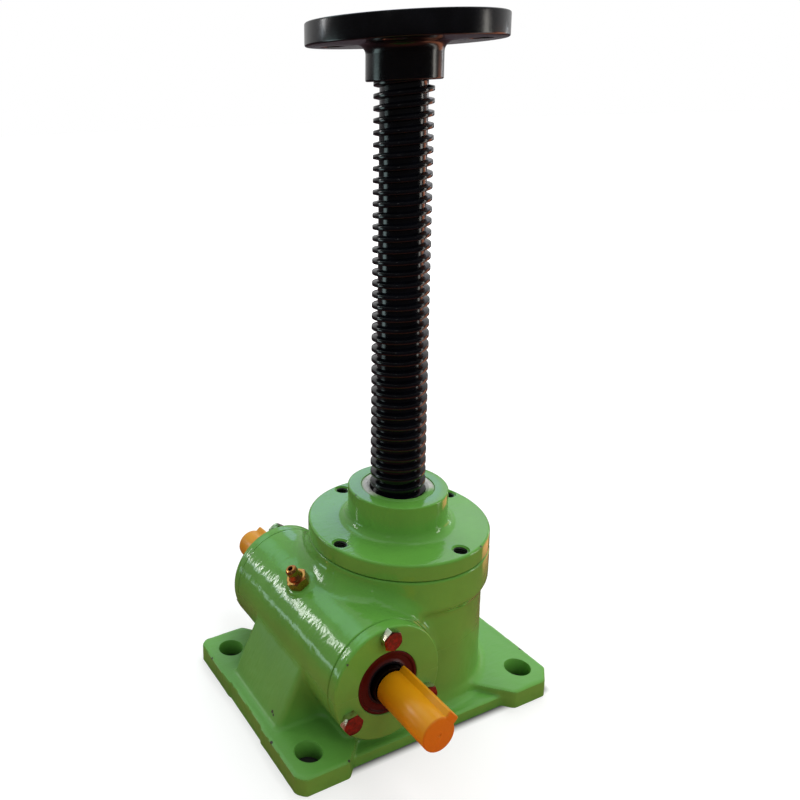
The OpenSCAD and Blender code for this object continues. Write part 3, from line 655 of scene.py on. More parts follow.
class ScrewJackHousing(bpy.types.PropertyGroup):
    barrel_radius: size("Barrel Radius", "Radius of the upright barrel", 46.5)
    collar_radius: size("Collar Radius", "Radius of the collar and of the cover's flange",
                        FLANGE_HIGH.x)
    collar_underside: size("Collar Underside", "Height where the collar starts",
                           BASE_HIGH.z - 17.5)
    tunnel_radius: size("Tunnel Radius", "Radius of the worm tunnel",
                        (COVER_HIGH.x - COVER_LOW.x) / 2)
    foot_thickness: size("Foot Thickness", "Thickness of the four feet", 10)
    rail_thickness: size("Rail Thickness", "Thickness of the rail between two feet", 6)
    rail_inset: size("Rail Inset", "How far the rail's edge lies behind the feet", 5)
    worm_side_corner: size("Worm Side Corner", "Corner cuts of the feet beside the worm", 4)
    free_side_corner: size("Free Side Corner", "Corner cuts of the other two feet", 8.5)
    foundation_hole: size("Foundation Hole", "Diameter of the four foundation holes", 14)
    rib_half_width: size("Rib Half Width", "Half the width of the sloping support", 26)
    casting_fillet: size("Casting Fillet", "Radius between the tunnel and the barrel", 10)
    foot_fillet: size("Foot Fillet", "Radius between the barrel and the base", 5.5)
    sand_waves: size("Sand Waves", "Height of the slow waves in the cast skin", 0.3)
    cell_size: size("Cell Size", "Size of the cells that the casting is formed from", 1, 0.5)


class ScrewJackScrew(bpy.types.PropertyGroup):
    pitch: size("Pitch", "Pitch of the trapezoidal thread", 6)
    segments: IntProperty(name="Segments", description="Segments in one turn of the thread",
                          default=60, min=12, max=128)
    tapped_pitch: size("Tapped Pitch", "Pitch of the tapped holes in the flange", 1.25)
    tapped_circle: size("Tapped Circle", "Diameter of the circle of tapped holes", 88)
    cover_turn: angle("Cover Turn", "Angle of the cover's tapped holes", 11)
    head_circle: size("Head Circle", "Bolt circle of the head plate", 72)
    head_hole: size("Head Hole", "Diameter of the holes in the head plate", 11)


class ScrewJackWorm(bpy.types.PropertyGroup):
    bolt_circle: size("Bolt Circle", "Bolt circle of the worm covers", 52.5)
    bolt_count: IntProperty(name="Bolts", description="Bolts on each worm cover", default=3,
                            min=2, max=8)
    bolt_turn: angle("Bolt Turn", "Angle of the first bolt from level", 90)
    bolt_flats: size("Bolt Flats", "Width across the flats of a bolt's head", 10)
    bolt_head: size("Bolt Head", "Height of a bolt's head", 4)
    shaft_diameter: size("Shaft Diameter", "Diameter of the driving ends", 16)
    key_width: size("Key Width", "Width and height of the keys", 5)
    key_turn: angle("Key Turn", "Angle of the keys round the worm", 42)
    cap_wall: size("Cap Wall", "Wall of the plastic caps", 0.9)


class ScrewJackColours(bpy.types.PropertyGroup):
    enamel: tint("Enamel", "Machine enamel on the castings", (91, 152, 62))
    oxide: tint("Black Oxide", "Oiled black finish of the screw and its head", (6, 7, 12))
    steel: tint("Steel", "Ground steel", (176, 178, 182))
    bronze: tint("Bronze", "Bearing bronze", (196, 148, 86))
    brass: tint("Copper Brass", "Grease nipple and cages", (214, 146, 84))
    zinc: tint("Yellow Zinc", "Plating of the cover bolts", (208, 204, 180))
    # colour of the painted reddish reflection on the bolts' ends
    zinc_end: tint("Zinc End Reflection", "Painted reddish reflection on the ends of the bolts", (158, 36, 32))
    rubber: tint("Seal Rubber", "Dark red brown seal", (66, 8, 5))
    cap: tint("Cap Plastic", "Orange yellow caps", (207, 140, 10))
    cap_end: tint("Cap End", "Closed end of the caps", (192, 104, 8))
    felt: tint("Wiper", "Pale grey wiper ring", (190, 188, 186))


GROUPS = {"screw_jack_housing": ScrewJackHousing, "screw_jack_screw": ScrewJackScrew,
          "screw_jack_worm": ScrewJackWorm, "screw_jack_colours": ScrewJackColours}


def settings(context):
    """The values of the four groups, with their lengths in millimetres."""
    out = []
    for name in GROUPS:
        group = getattr(context.scene, name)
        values = {key: getattr(group, key) for key in group.__annotations__}
        for key in values:
            if group.bl_rna.properties[key].unit == "LENGTH":
                values[key] /= MM
        out.append(SimpleNamespace(**values))
    return out


# ---------- geometry trees ----------

def new_tree(name, *sockets):
    """A geometry tree, its net and its input node, from (name, type) pairs of its inputs."""
    tree = bpy.data.node_groups.new(name, "GeometryNodeTree")
    tree.interface.new_socket("Geometry", in_out="OUTPUT", socket_type="NodeSocketGeometry")
    for socket, kind in sockets + (("Material", "Material"),):
        tree.interface.new_socket(socket, in_out="INPUT", socket_type="NodeSocket" + kind)
    net = Net(tree)
    return tree, net, net.add("NodeGroupInput")


def close_tree(net, g, geometry):
    """Ends a tree with real geometry in its material."""
    solid = net.add("GeometryNodeRealizeInstances", None, {0: geometry})
    coated = net.add("GeometryNodeSetMaterial", None, {"Geometry": solid,
                                                       "Material": g["Material"]})
    net.add("NodeGroupOutput", None, {0: coated})


def shape_by(obj, tree, values):
    """Runs a tree on an object and keeps the result as its plain mesh."""
    modifier = obj.modifiers.new("shape", "NODES")
    modifier.node_group = tree
    for item in tree.interface.items_tree:
        if item.item_type == "SOCKET" and item.in_out == "INPUT" and item.name in values:
            modifier[item.identifier] = values[item.name]
    return settle(obj)


def casting_tree():
    """The casting as one rounded solid, from distances in metres that are joined with fillets. A
    sloping face is a sum along its normal, whose parts are given as two numbers."""
    tree, net, g = new_tree("Cast Housing", *[(name, "Float") for name in (
        "Barrel Radius", "Collar Radius", "Collar Underside", "Collar Top", "Tunnel Radius",
        "Worm X", "Worm Z", "Base Left", "Base Right", "Base Half Width", "Worm Side Corner",
        "Free Side Corner", "Foot Thickness", "Rail Thickness", "Rail Inset", "Rib Half Width",
        "Casting Fillet", "Foot Fillet", "Sand Waves", "Cell Size", "Seed")])
    where = net.add("GeometryNodeInputPosition")[0]
    x, signed_y, z = net.axes(where)
    y = signed_y.size()

    # barrel and collar
    r = length(x, signed_y)
    wall = r - g["Collar Radius"]
    slope = wall * 0.789 - (z - g["Collar Underside"]) * 0.614    # 52 degrees from level
    collar = round_common(wall, slope, 0.0006)
    upright = round_union(r - g["Barrel Radius"], collar, 0.0012)
    upright = upright.most(z - g["Collar Top"] - 0.003)

    # worm tunnel, the pedestal under it and the sloping rib
    u, w = x - g["Worm X"], z - g["Worm Z"]
    tunnel = (length(u, w) - g["Tunnel Radius"]).most(y - 0.052)
    px, py = u.size() - 0.0155, y - 0.0436
    pedestal = length(px.most(0.0), py.most(0.0)) + px.most(py).least(0.0) - 0.003
    pedestal = pedestal.most(w)
    lean = (x + 0.0935) * -0.9 + (z - 0.010) * 0.436
    rib = round_common(lean, y - g["Rib Half Width"], 0.0028)
    rib = rib.most(z - 0.058).most(u)
    rib_fillet = 0.0008 + (1.0 - z.ramp(0.012, 0.050)) * 0.0055

    # base plate with its feet and rails
    middle = (g["Base Left"] + g["Base Right"]) * 0.5
    diagonal = 0.7071
    cut = g["Worm Side Corner"] + x.over(0.0) * (g["Free Side Corner"] - g["Worm Side Corner"])
    bx = (x - middle).size() - (g["Base Right"] - g["Base Left"]) * 0.5
    by = y - g["Base Half Width"]
    edge = round_common(bx.most(by), (bx + by + cut) * diagonal, 0.0007)
    plate = round_common(edge, z - g["Foot Thickness"], 0.0009)
    out = g["Base Half Width"] - y
    left = (x - g["Base Left"] - 0.029 - out) * -diagonal
    right = (g["Base Right"] - 0.030 - out - x) * -diagonal
    ends = left.most(right)
    shallow = round_common(ends.most(out - 0.016), g["Rail Thickness"] - z, 0.0012)
    plate = round_common(plate, -shallow, 0.0008)
    plate = round_common(plate, -(ends.most(out - g["Rail Inset"])), 0.0009)
    relief = (x - g["Base Left"] - 0.001).most(y - 0.019)
    plate = round_common(plate, -relief, 0.0006)
    plate = plate.most(-0.003 - z)

    # nipple seat
    c, s = math.cos(math.radians(NIPPLE_TILT)), math.sin(math.radians(NIPPLE_TILT))
    along = w * c - u * s
    across = w * s + u * c
    seat = round_common(length(across, signed_y - NIPPLE_Y * MM) - 0.008,
                        along - g["Tunnel Radius"] - 0.0006, 0.0005)
    seat = seat.most(0.02 - along)

    body = round_union(tunnel, pedestal, 0.006)
    body = round_union(body, rib, rib_fillet)
    body = round_union(body, upright, g["Casting Fillet"])
    body = round_union(body, plate, g["Foot Fillet"] * (1.0 - (-x).ramp(0.040, 0.062) * 0.62))
    body = round_union(body, seat, 0.0012)

    # slow waves and lumps of the sand skin
    moved = net.vector("ADD", where, net.join(g["Seed"], 0.0, 0.0))
    waves = (net.noise(moved, 55.0, 2.0, 0.5) - 0.5) * g["Sand Waves"] * 2.0
    grain = (net.noise(moved, 240.0, 1.0, 0.5) - 0.5) * g["Sand Waves"] * 0.7
    body = body + waves + grain

    low = (g["Base Left"] - 0.004, g["Base Half Width"] * -1.0 - 0.004, -0.005)
    high = (g["Base Right"] + 0.004, g["Base Half Width"] + 0.004, g["Collar Top"] + 0.006)
    counts = [(b - a) / g["Cell Size"] for a, b in zip(low, high)]
    grid = net.add("GeometryNodeVolumeCube", None, {
        "Density": 0.5 - body / 0.008, "Background": 0.0, "Min": net.join(*low),
        "Max": net.join(*high), "Resolution X": counts[0], "Resolution Y": counts[1],
        "Resolution Z": counts[2]})
    skin = net.add("GeometryNodeVolumeToMesh", None, {"Volume": grid, "Threshold": 0.5,
                                                      "Adaptivity": 0.0})
    close_tree(net, g, skin)
    return tree


def bolt_tree():
    """Bolts set out evenly on a circle in the XY plane, with a twist of their own each."""
    tree, net, g = new_tree("Bolt Circle", ("Geometry", "Geometry"), ("Count", "Int"),
                            ("Circle Diameter", "Float"), ("First Angle", "Float"),
                            ("Twist", "Float"), ("Seed", "Int"))
    ring = net.add("GeometryNodeMeshCircle", None, {"Vertices": g["Count"],
                                                    "Radius": g["Circle Diameter"] * 0.5})
    ring = net.add("GeometryNodeTransform", None, {
        "Geometry": ring, "Rotation": net.join(0.0, 0.0, g["First Angle"])})
    own = net.add("FunctionNodeRandomValue", {"data_type": "FLOAT"},
                  {2: 0.0, 3: g["Twist"], "Seed": g["Seed"]})[1]
    close_tree(net, g, net.add("GeometryNodeInstanceOnPoints", None, {
        "Points": ring, "Instance": g["Geometry"], "Rotation": net.join(0.0, 0.0, own)}))
    return tree


# ---------- housing and top cover ----------

class SCREWJACK_OT_housing(bpy.types.Operator):
    """Cast housing with its machined faces, bores and holes"""
    bl_idname = "screwjack.housing"
    bl_label = "Housing"

    def execute(self, context):
        sizes, _, worm, colours = settings(context)
        paint = enamel("green enamel on castings", colours.enamel, 0.36, [
            (-91.4, -17.2, 14.4, 0.8), (-91.7, -18.8, 13.7, 0.6), (-99.5, -31, 9.5, 0.8),
            (64, -34, 9.8, 0.9), (-71, -59, 9.6, 0.7), (36, 59.5, 9.5, 0.8),
            (-100, 42, 9.6, 0.7)])
        lengths = {"collar top": BASE_HIGH.z, "worm x": WORM_X, "worm z": WORM_Z,
                   "base left": BASE_LOW.x, "base right": BASE_HIGH.x,
                   "base half width": BASE_HIGH.y, **vars(sizes)}
        values = {name.replace("_", " ").title(): value * MM for name, value in lengths.items()}
        obj = shape_by(piece("cast_housing", bmesh.new()), casting_tree(),
                       {**values, "Seed": 3.0, "Material": paint})
        carve(obj, self.faces(sizes) + self.bores() + self.worm_side(sizes, worm)
              + self.holes(sizes, worm), smooth=32.0)
        finish_piece(obj, "housing_body", "green_enamel", paint, "housing")
        return {"FINISHED"}

    def faces(self, sizes):
        """Machined top with its small round, and machined underside."""
        top, r = BASE_HIGH.z, sizes.collar_radius
        above, beyond = 12, 6
        return [
            (turned([(0, top), (r - 1, top)] + arc(r - 1, top - 1, 1, 85, 15, 5)
                    + [(r + 0.6, top - 2.2), (r + beyond, top - 2.2), (r + beyond, top + above),
                       (0, top + above)], 192), None),
            (raised([(-120, -80), (90, -80), (90, 80), (-120, 80)], -12, 0), None)]

    def bores(self):
        """Wheel space with the cover's spigot, lower seat and lower bush."""
        top, spigot_z = BASE_HIGH.z, FLANGE_LOW.z
        seat_low, seat_high = box_mm("lower_thrust_seat_race")
        seat_r, seat_z = seat_high.x + FIT, seat_low.z
        bush_flange = box_mm("lower_guide_bush")[1].x
        bush_r = BUSH_HIGH.x + FIT
        return [
            (turned([(0, seat_z), (seat_r, seat_z), (seat_r, seat_z + 5), (37, seat_z + 5),
                     (37, spigot_z - 1), (SPIGOT_R + FIT, spigot_z - 1),
                     (SPIGOT_R + FIT, top - 0.5), (41.6, top + 1), (0, top + 1)], 128), None),
            (turned([(0, -1), (bush_flange + 0.6, -1), (bush_flange + FIT, 0.4),
                     (bush_flange + FIT, 3.1), (bush_r, 3.1), (bush_r, seat_z + 1),
                     (0, seat_z + 1)], 96), None)]

    def worm_side(self, sizes, worm):
        """Both tunnel faces with their edges, the bearing bore and the bolt holes."""
        r, face_y, cup_r = sizes.tunnel_radius, -SHIM_HIGH.y, CUP_R + FIT
        cuts = []
        for side, nick in (("front", 1.0), ("rear", 0.2)):
            cuts.append((turned([
                (0, face_y), (r - 0.8 * nick, face_y), (r - 0.3 * nick, face_y - 0.25 * nick),
                (r + 0.4, face_y - 1.1 * nick), (r + 2, face_y - 1.1 * nick),
                (r + 2, face_y + 8), (0, face_y + 8)], 128), worm_end(side)))
        cuts.append((turned([
            (0, -face_y - 1), (cup_r + 0.6, -face_y - 1), (cup_r, -face_y + 0.5),
            (cup_r, face_y - 0.5), (cup_r + 0.6, face_y + 1), (0, face_y + 1)], 96),
            worm_end("front")))
        for side in SIDES:
            for point in on_circle(worm.bolt_circle, worm.bolt_count, worm.bolt_turn):
                cuts.append((tube(SCREW_TAP, face_y - 14, face_y + 2, 32),
                             worm_end(side) @ shifted(*point)))
        return cuts

    def holes(self, sizes, worm):
        """Foundation holes, the nipple's bore with its grease way, and the lock screw's bore."""
        half, foot, r = sizes.foundation_hole / 2, sizes.foot_thickness, sizes.tunnel_radius
        cuts = [(turned([(0, -1), (half + 0.6, -1), (half, 0.4), (half, foot - 0.5),
                         (half + 0.9, foot + 1), (half + 0.9, foot + 2), (0, foot + 2)], 64),
                 shifted(x, y))
                for x in (BASE_LOW.x + 14, BASE_HIGH.x - 14)
                for y in (BASE_LOW.y + 15, BASE_HIGH.y - 15)]
        return cuts + [
            (tube(5.05, r - 7, r + 5, 48), NIPPLE), (tube(2, r - 16, r - 6, 24), NIPPLE),
            (turned([(0, 30), (SCREW_TAP, 30), (SCREW_TAP, 49), (4.2, 50.6), (0, 50.6)], 32),
             COVER_LOCK)]


class SCREWJACK_OT_top_cover(bpy.types.Operator):
    """Turned top cover with its boss and four tapped holes"""
    bl_idname = "screwjack.top_cover"
    bl_label = "Top Cover"

    def execute(self, context):
        _, screw, _, colours = settings(context)
        minor, major, pitch = 3.4, 4.0, screw.tapped_pitch
        boss_z = FLANGE_HIGH.z
        top = boss_z - BOSS_H
        under = BASE_HIGH.z + FLANGE_GAP
        ring = on_circle(screw.tapped_circle, 4, screw.cover_turn)
        # the tapped holes are left unpainted and painted near black inside as shade
        paint = enamel("green enamel on the cover", colours.enamel, 0.3,
                       [(20, -45.6, 95.2, 0.6), (-27, 1, 115.4, 0.5)],
                       [(x, y, major, top - 0.9) for x, y in ring])
        low, rim = FLANGE_LOW.z, FLANGE_HIGH.x
        race = box_mm("upper_thrust_seat_race")[1]
        race_r, wiper_r, bush_r = race.x + FIT, WIPER_HIGH.x + FIT, BUSH_HIGH.x + FIT
        outline = soften([
            (race_r, low, 0.4), (SPIGOT_R, low, 0.8), (SPIGOT_R, under, 0.3), (rim, under, 0.6),
            (rim, top, 1.3), (BOSS_R, top, 5.6), (BOSS_R, boss_z, 0.9), (wiper_r, boss_z, 0.35),
            (wiper_r, WIPER_LOW.z, 0), (bush_r, WIPER_LOW.z, 0), (bush_r, BUSH_LOW.z, 0),
            (17, BUSH_LOW.z, 0), (17, BUSH_LOW.z - 2, 0), (22, BUSH_LOW.z - 4, 0),
            (22, race.z, 0), (race_r, race.z, 0)], steps=7)
        obj = piece("top_cover_turned", turned(outline, 192))
        q = pitch / 8
        groove = [(-3 * q, minor), (-q * 0.6, major), (q * 0.6, major), (3 * q, minor)]
        cuts = []
        for point in ring:
            for cutter in (
                    helix(minor, groove, pitch, 32, under - 1.5, top + 1.5, top),
                    turned([(0, top - 1.0), (major - 0.1, top - 1.0), (4.75, top + 0.02),
                            (5.2, top + 1), (0, top + 1)], 48),
                    turned([(0, under - 1), (5, under - 1), (4.6, under - 0.1),
                            (3.3, under + 0.9), (0, under + 0.9)], 48)):
                cuts.append((cutter, shifted(*point)))
        carve(obj, cuts)
        finish_piece(obj, "housing_body", "green_enamel", paint, "top_cover")
        return {"FINISHED"}


# ---------- lifting screw and head ----------

class SCREWJACK_OT_lifting_screw(bpy.types.Operator):
    """Trapezoidal lifting screw with its neck"""
    bl_idname = "screwjack.lifting_screw"
    bl_label = "Lifting Screw"

    def execute(self, context):
        _, screw, _, colours = settings(context)
        black = oxide("oiled black oxide on the screw", colours.oxide, 0.12)
        crest, root = SCREW_CREST, SCREW_ROOT
        ring_low, ring_high = box_mm("travel_stop_ring")
        low, high = ring_high.z, PLATE_LOW.z + NECK_RISE
        half = 0.183 * screw.pitch
        lean = math.tan(math.radians(15))
        flank = [(half + 3.0 * lean, root), (half + 2.6 * lean - 0.04, root + 0.25),
                 (half + 0.2 * lean, crest - 0.26), (half - 0.16, crest - 0.03)]
        tooth = [(-offset, r) for offset, r in flank] + [(0.0, crest)] + flank[::-1]
        thread = piece("screw_thread", helix(root, tooth, screw.pitch, screw.segments, low, high,
                                             WORM_Z), smooth=50.0)
        top = PLATE_HIGH.z
        neck = piece("screw_neck", turned(
            [(0, high - 0.4), (NECK_R, high - 0.4), (NECK_R, top - 1.6), (NECK_R - 1, top - 0.6),
             (3.2, top - 0.6), (1.2, top - 2.6), (1.2, top - 5), (0, top - 5.6)], 96))
        tail = piece("screw_tail", turned(
            [(0, 5), (1.2, 4.6), (1.2, 3.4), (2.9, 2), (10.4, 2), (11.4, 3), (11.4, low + 0.4),
             (0, low + 0.4)], 96))
        carve(tail, [(tube(2.05, -18, 18, 32),
                      Matrix.Translation((0, 0, (ring_low.z + ring_high.z) / 2))
                      @ Matrix.Rotation(math.radians(90), 4, "X"))])
        finish_piece(thread, "screw", "black_finish", black, "lifting_screw")
        finish_piece(neck, "screw", "black_finish", black)
        finish_piece(tail, "screw", "black_finish", black)
        return {"FINISHED"}


class SCREWJACK_OT_head_plate(bpy.types.Operator):
    """Round head plate with its hub, four holes and lock screw"""
    bl_idname = "screwjack.head_plate"
    bl_label = "Head Plate"

    def execute(self, context):
        _, screw, _, colours = settings(context)
        black = oxide("black finish of the head", colours.oxide, 0.16)
        low, top, rim = PLATE_LOW.z, PLATE_HIGH.z, PLATE_HIGH.x
        under, recess = top - PLATE_T, low + NECK_RISE
        neck = NECK_R + FIT
        outline = soften([
            (SCREW_BORE, low, 0.3), (HUB_R, low, 0.9), (HUB_R, under, 5.0), (rim, under, 1.0),
            (rim, top, 1.0), (neck, top, 0.5), (neck, recess, 0), (SCREW_BORE, recess, 0)],
            steps=7)
        obj = piece("head_plate_turned", turned(outline, 192))
        hole = screw.head_hole / 2
        cuts = [(turned([(0, under - 1), (hole + 1.2, under - 1), (hole + 0.5, under - 0.05),
                         (hole, under + 0.5), (hole, top - 0.6), (hole + 0.6, top + 0.05),
                         (hole + 1.4, top + 1), (0, top + 1)], 64), shifted(*point))
                for point in on_circle(screw.head_circle, 4, math.radians(45))]
        cuts.append((turned([(0, 8), (SCREW_TAP, 8), (SCREW_TAP, 18.4), (3.7, 19.2), (3.7, 20),
                             (0, 20)], 32), HEAD_LOCK))
        carve(obj, cuts)
        finish_piece(obj, "screw", "black_finish", black, "head_plate")
        grub = socket_screw("head_grub_screw", [(0, 11.5), (3, 11.5), (3, 17.6), (2.6, 18),
                                                (0, 18)], 15, HEAD_LOCK)
        finish_piece(grub, "screw", "black_finish", black, "head_lock_screw")
        return {"FINISHED"}


# ---------- worm covers, bolts and seals ----------

class SCREWJACK_OT_worm_covers(bpy.types.Operator):
    """The two round covers of the worm tunnel"""
    bl_idname = "screwjack.worm_covers"
    bl_label = "Worm Covers"

    def execute(self, context):
        sizes, _, worm, colours = settings(context)
        paint = enamel("green enamel on the worm covers", colours.enamel, 0.6,
                       [(-70, -55.9, 62, 0.5)])
        rim, bore = sizes.tunnel_radius, 12
        inner, joint, face = -COVER_HIGH.y, -SHIM_LOW.y, -COVER_LOW.y
        seal_r, seal_y = SEAL_HIGH.x - WORM_X + FIT, -SEAL_HIGH.y
        spigot_r = CUP_R - FIT
        for side, nick in (("front", 0.35), ("rear", 0.06)):
            outline = soften([
                (bore, inner, 0.2), (spigot_r, inner, 0.4), (spigot_r, joint, 0),
                (rim, joint, nick), (rim, face, 1.1), (seal_r, face, 0.6), (seal_r, seal_y, 0),
                (bore, seal_y, 0)], steps=6)
            obj = piece(side + "_cover_turned", turned(outline, 160), worm_end(side))
            carve(obj, [(turned([(0, joint - 1), (3.3, joint - 1), (3.3, face - 0.3),
                                 (4.2, face + 0.6), (0, face + 0.6)], 40),
                         worm_end(side) @ shifted(*point))
                        for point in on_circle(worm.bolt_circle, worm.bolt_count,
                                               worm.bolt_turn)])
            finish_piece(obj, "housing_body", "green_enamel", paint, side + "_worm_cover")
        return {"FINISHED"}


class SCREWJACK_OT_cover_bolts(bpy.types.Operator):
    """Hexagon bolts on the circles of both worm covers"""
    bl_idname = "screwjack.cover_bolts"
    bl_label = "Cover Bolts"

    def execute(self, context):
        _, _, worm, colours = settings(context)
        face, flats, high = -COVER_LOW.y, worm.bolt_flats, worm.bolt_head
        plating = zinc("yellow zinc plate", colours.zinc, colours.zinc_end, (face + high) * MM)
        tree = bolt_tree()
        crown = [(0, -1), (flats, -1), (flats, high * 0.3), (flats / 2 - 0.15, high - 0.06),
                 (flats / 2 - 0.5, high + 0.02), (flats / 2 - 1.6, high - 0.1), (0, high - 0.1)]
        for index, side in enumerate(SIDES):
            head = piece(side + "_bolts_hex", raised(hexagon_outline(flats), 0.0, high))
            carve(head, [(turned(crown, 72), None)], operation="INTERSECT")
            carve(head, [(tube(3.0, -16, 0.3, 32), None)], operation="UNION")
            shape_by(head, tree, {
                "Count": worm.bolt_count, "Circle Diameter": worm.bolt_circle * MM,
                "First Angle": worm.bolt_turn, "Twist": math.radians(55), "Seed": 4 + index,
                "Material": plating})
            place = worm_end(side)
            place.translation *= MM
            move = place @ Matrix.Translation((0, 0, face * MM))
            head.data.transform(move)
            if move.to_3x3().determinant() < 0:
                head.data.flip_normals()
            finish_piece(head, "housing_body", "zinc_plate", plating, side + "_cover_bolts")
        return {"FINISHED"}


class SCREWJACK_OT_shaft_seals(bpy.types.Operator):
    """Lipped shaft seals in both worm covers"""
    bl_idname = "screwjack.shaft_seals"
    bl_label = "Shaft Seals"

    def execute(self, context):
        _, _, _, colours = settings(context)
        z0, z1 = -SEAL_HIGH.y, -SEAL_LOW.y
        outer, lip = SEAL_HIGH.x - WORM_X, 10.15
        material = rubber("seal rubber", colours.rubber, lip + 1.4)
        outline = soften([
            (outer - 0.4, z0, 0), (outer, z0 + 0.6, 0), (outer, z1, 0.5), (outer - 1.4, z1, 0.3),
            (outer - 1.9, z1 - 0.9, 0.4), (lip + 2.6, z1 - 1.0, 0.6), (lip + 1.5, z1 - 0.1, 0.5),
            (lip + 0.5, z1, 0.2), (lip, z1 - 0.6, 0.1), (lip + 0.9, z1 - 2, 0.2),
            (lip, z0 + 2.6, 0.1), (lip + 1.2, z0 + 0.8, 0.3), (lip + 2.4, z0 + 1.2, 0.4),
            (lip + 2.8, z0 + 2.6, 0.3), (outer - 1.4, z0 + 2.6, 0), (outer - 1.8, z0, 0)],
            steps=4)
        for side in SIDES:
            obj = piece(side + "_seal_lipped", turned(outline, 128), worm_end(side))
            finish_piece(obj, "housing_body", "seal_rubber", material, side + "_shaft_seal")
        return {"FINISHED"}


# ---------- worm shaft and caps ----------

class SCREWJACK_OT_worm_shaft(bpy.types.Operator):
    """Worm shaft with its thread, keyways and centre holes, and the two keys"""
    bl_idname = "screwjack.worm_shaft"
    bl_label = "Worm Shaft"

    def execute(self, context):
        _, _, worm, colours = settings(context)
        # the shaft is painted near black as shade out to just past its caps
        steel = metal("ground shaft steel", colours.steel, 0.2, axis="Y", tarnish=0.3,
                      painted_shade_reach=(abs(CAP_HIGH.y) + 0.4) * MM)
        key_steel = metal("drawn key steel", colours.steel, 0.3)
        axis = worm_end("front")
        tip = WORM_HIGH.y
        inner = box_mm("rear_bearing_cone")[0].y
        land = -COVER_LOW.y + 2.6
        end, seat, body = worm.shaft_diameter / 2, 10.0, 12.6
        outline = soften([
            (0, -tip + 4.4, 0), (1.1, -tip + 5, 0), (1.1, -tip + 2.6, 0), (2.6, -tip, 0.1),
            (end, -tip, 1.0), (end, -land, 0.4), (seat, -land, 0.5), (seat, -inner, 0.3),
            (body, -inner, 0.4), (body, inner, 0.4), (seat, inner, 0.3), (seat, land, 0.5),
            (end, land, 0.4), (end, tip, 1.0), (2.6, tip, 0.1), (1.1, tip - 2.6, 0),
            (1.1, tip - 5, 0), (0, tip - 4.4, 0)], steps=4, closed=False)
        shaft = piece("shaft_turned", turned(outline, 128), axis)
        wide = worm.key_width
        floor, half, slack = end - wide * 0.6, wide / 2, 0.01
        start, stop = land + 5, land + 31
        cuts, keys = [], []
        for side in SIDES:
            turn = worm_end(side) @ Matrix.Rotation(worm.key_turn, 4, "Z")
            slot = [(floor, -half), (end + 4, -half), (end + 4, half), (floor, half)]
            cuts.append((raised(slot, start - 0.03, stop + 0.03), turn))
            key = soften([(floor, -half + slack, 0.25), (floor + wide, -half + slack, 0.35),
                          (floor + wide, half - slack, 0.35), (floor, half - slack, 0.25)],
                         steps=3)
            keys.append((side, raised(key, start, stop), turn))
        carve(shaft, cuts)
        module, root, crest = 2.5, 13.0, 18.5
        pitch = math.pi * module
        lean = math.tan(math.radians(20))
        half_tooth = (pitch / 2 - 0.3) / 2
        low, high = half_tooth + 3 * lean, half_tooth - module * lean
        flank = [(low, root), (low - 0.35, root + 0.6), (high + 0.1, crest - 0.3),
                 (high - 0.25, crest)]
        tooth = [(-offset, r) for offset, r in flank] + flank[::-1]
        thread = piece("worm_thread", helix(root, tooth, pitch, 72, 4 - inner, inner - 4, 0.0),
                       axis, smooth=40.0)
        finish_piece(shaft, "worm", "ground_steel", steel, "worm_shaft")
        finish_piece(thread, "worm", "ground_steel", steel)
        for side, bm, turn in keys:
            obj = piece(side + "_key_drawn", bm, turn)
            finish_piece(obj, "worm", "ground_steel", key_steel, side + "_key")
        return {"FINISHED"}


class SCREWJACK_OT_shaft_caps(bpy.types.Operator):
    """Soft plastic caps over the two driving ends"""
    bl_idname = "screwjack.shaft_caps"
    bl_label = "Shaft Caps"

    def execute(self, context):
        _, _, worm, colours = settings(context)
        y0, y1 = -CAP_HIGH.y, -CAP_LOW.y
        material = plastic("orange yellow cap plastic", colours.cap, colours.cap_end, y1 * MM)
        wall, bend = worm.cap_wall, 0.9
        inner = worm.shaft_diameter / 2 + 0.15
        wide = worm.key_width / 2 + 0.2
        reach = worm.shaft_diameter / 2 + worm.key_width * 0.4 + 1.0

        def section(offset, steps=96):
            """The cap's round outline with its ridge, set out by an offset."""
            r, top, half = inner + offset, reach + offset, wide + offset
            foot = math.asin(half / r)
            around = []
            for i in range(steps + 1):
                t = foot + (2 * math.pi - 2 * foot) * i / steps
                around.append((r * math.cos(t), r * math.sin(t), 0.7 if i in (0, steps) else 0))
            return soften(around + [(top, -half, bend), (top, half, bend)], steps=4)

        def closed_body(rings):
            return stacked([[(x, y, z) for x, y in section(offset)] for offset, z in rings])

        outside = [(wall - 0.25, y0), (wall, y0 + 0.25), (wall, y1 - bend)]
        outside += [(wall - bend + bend * math.cos(math.radians(a)),
                     y1 - bend + bend * math.sin(math.radians(a))) for a in (25, 45, 65, 90)]
        for side in SIDES:
            turn = worm_end(side) @ Matrix.Rotation(worm.key_turn, 4, "Z")
            cap = piece(side + "_cap_moulded", closed_body(outside), turn, smooth=50.0)
            carve(cap, [(closed_body([(0.0, y0 - 1), (0.0, y1 - wall)]), turn)], smooth=50.0)
            carve(cap, [(turned([(0, y1 - 0.35), (0.9, y1 - 0.3), (1.3, y1 + 0.3), (0, y1 + 0.3)],
                                32), worm_end(side))], smooth=50.0)
            finish_piece(cap, side + "_cap", "cap_plastic", material, side + "_shaft_cap")
        return {"FINISHED"}


# ---------- small parts ----------

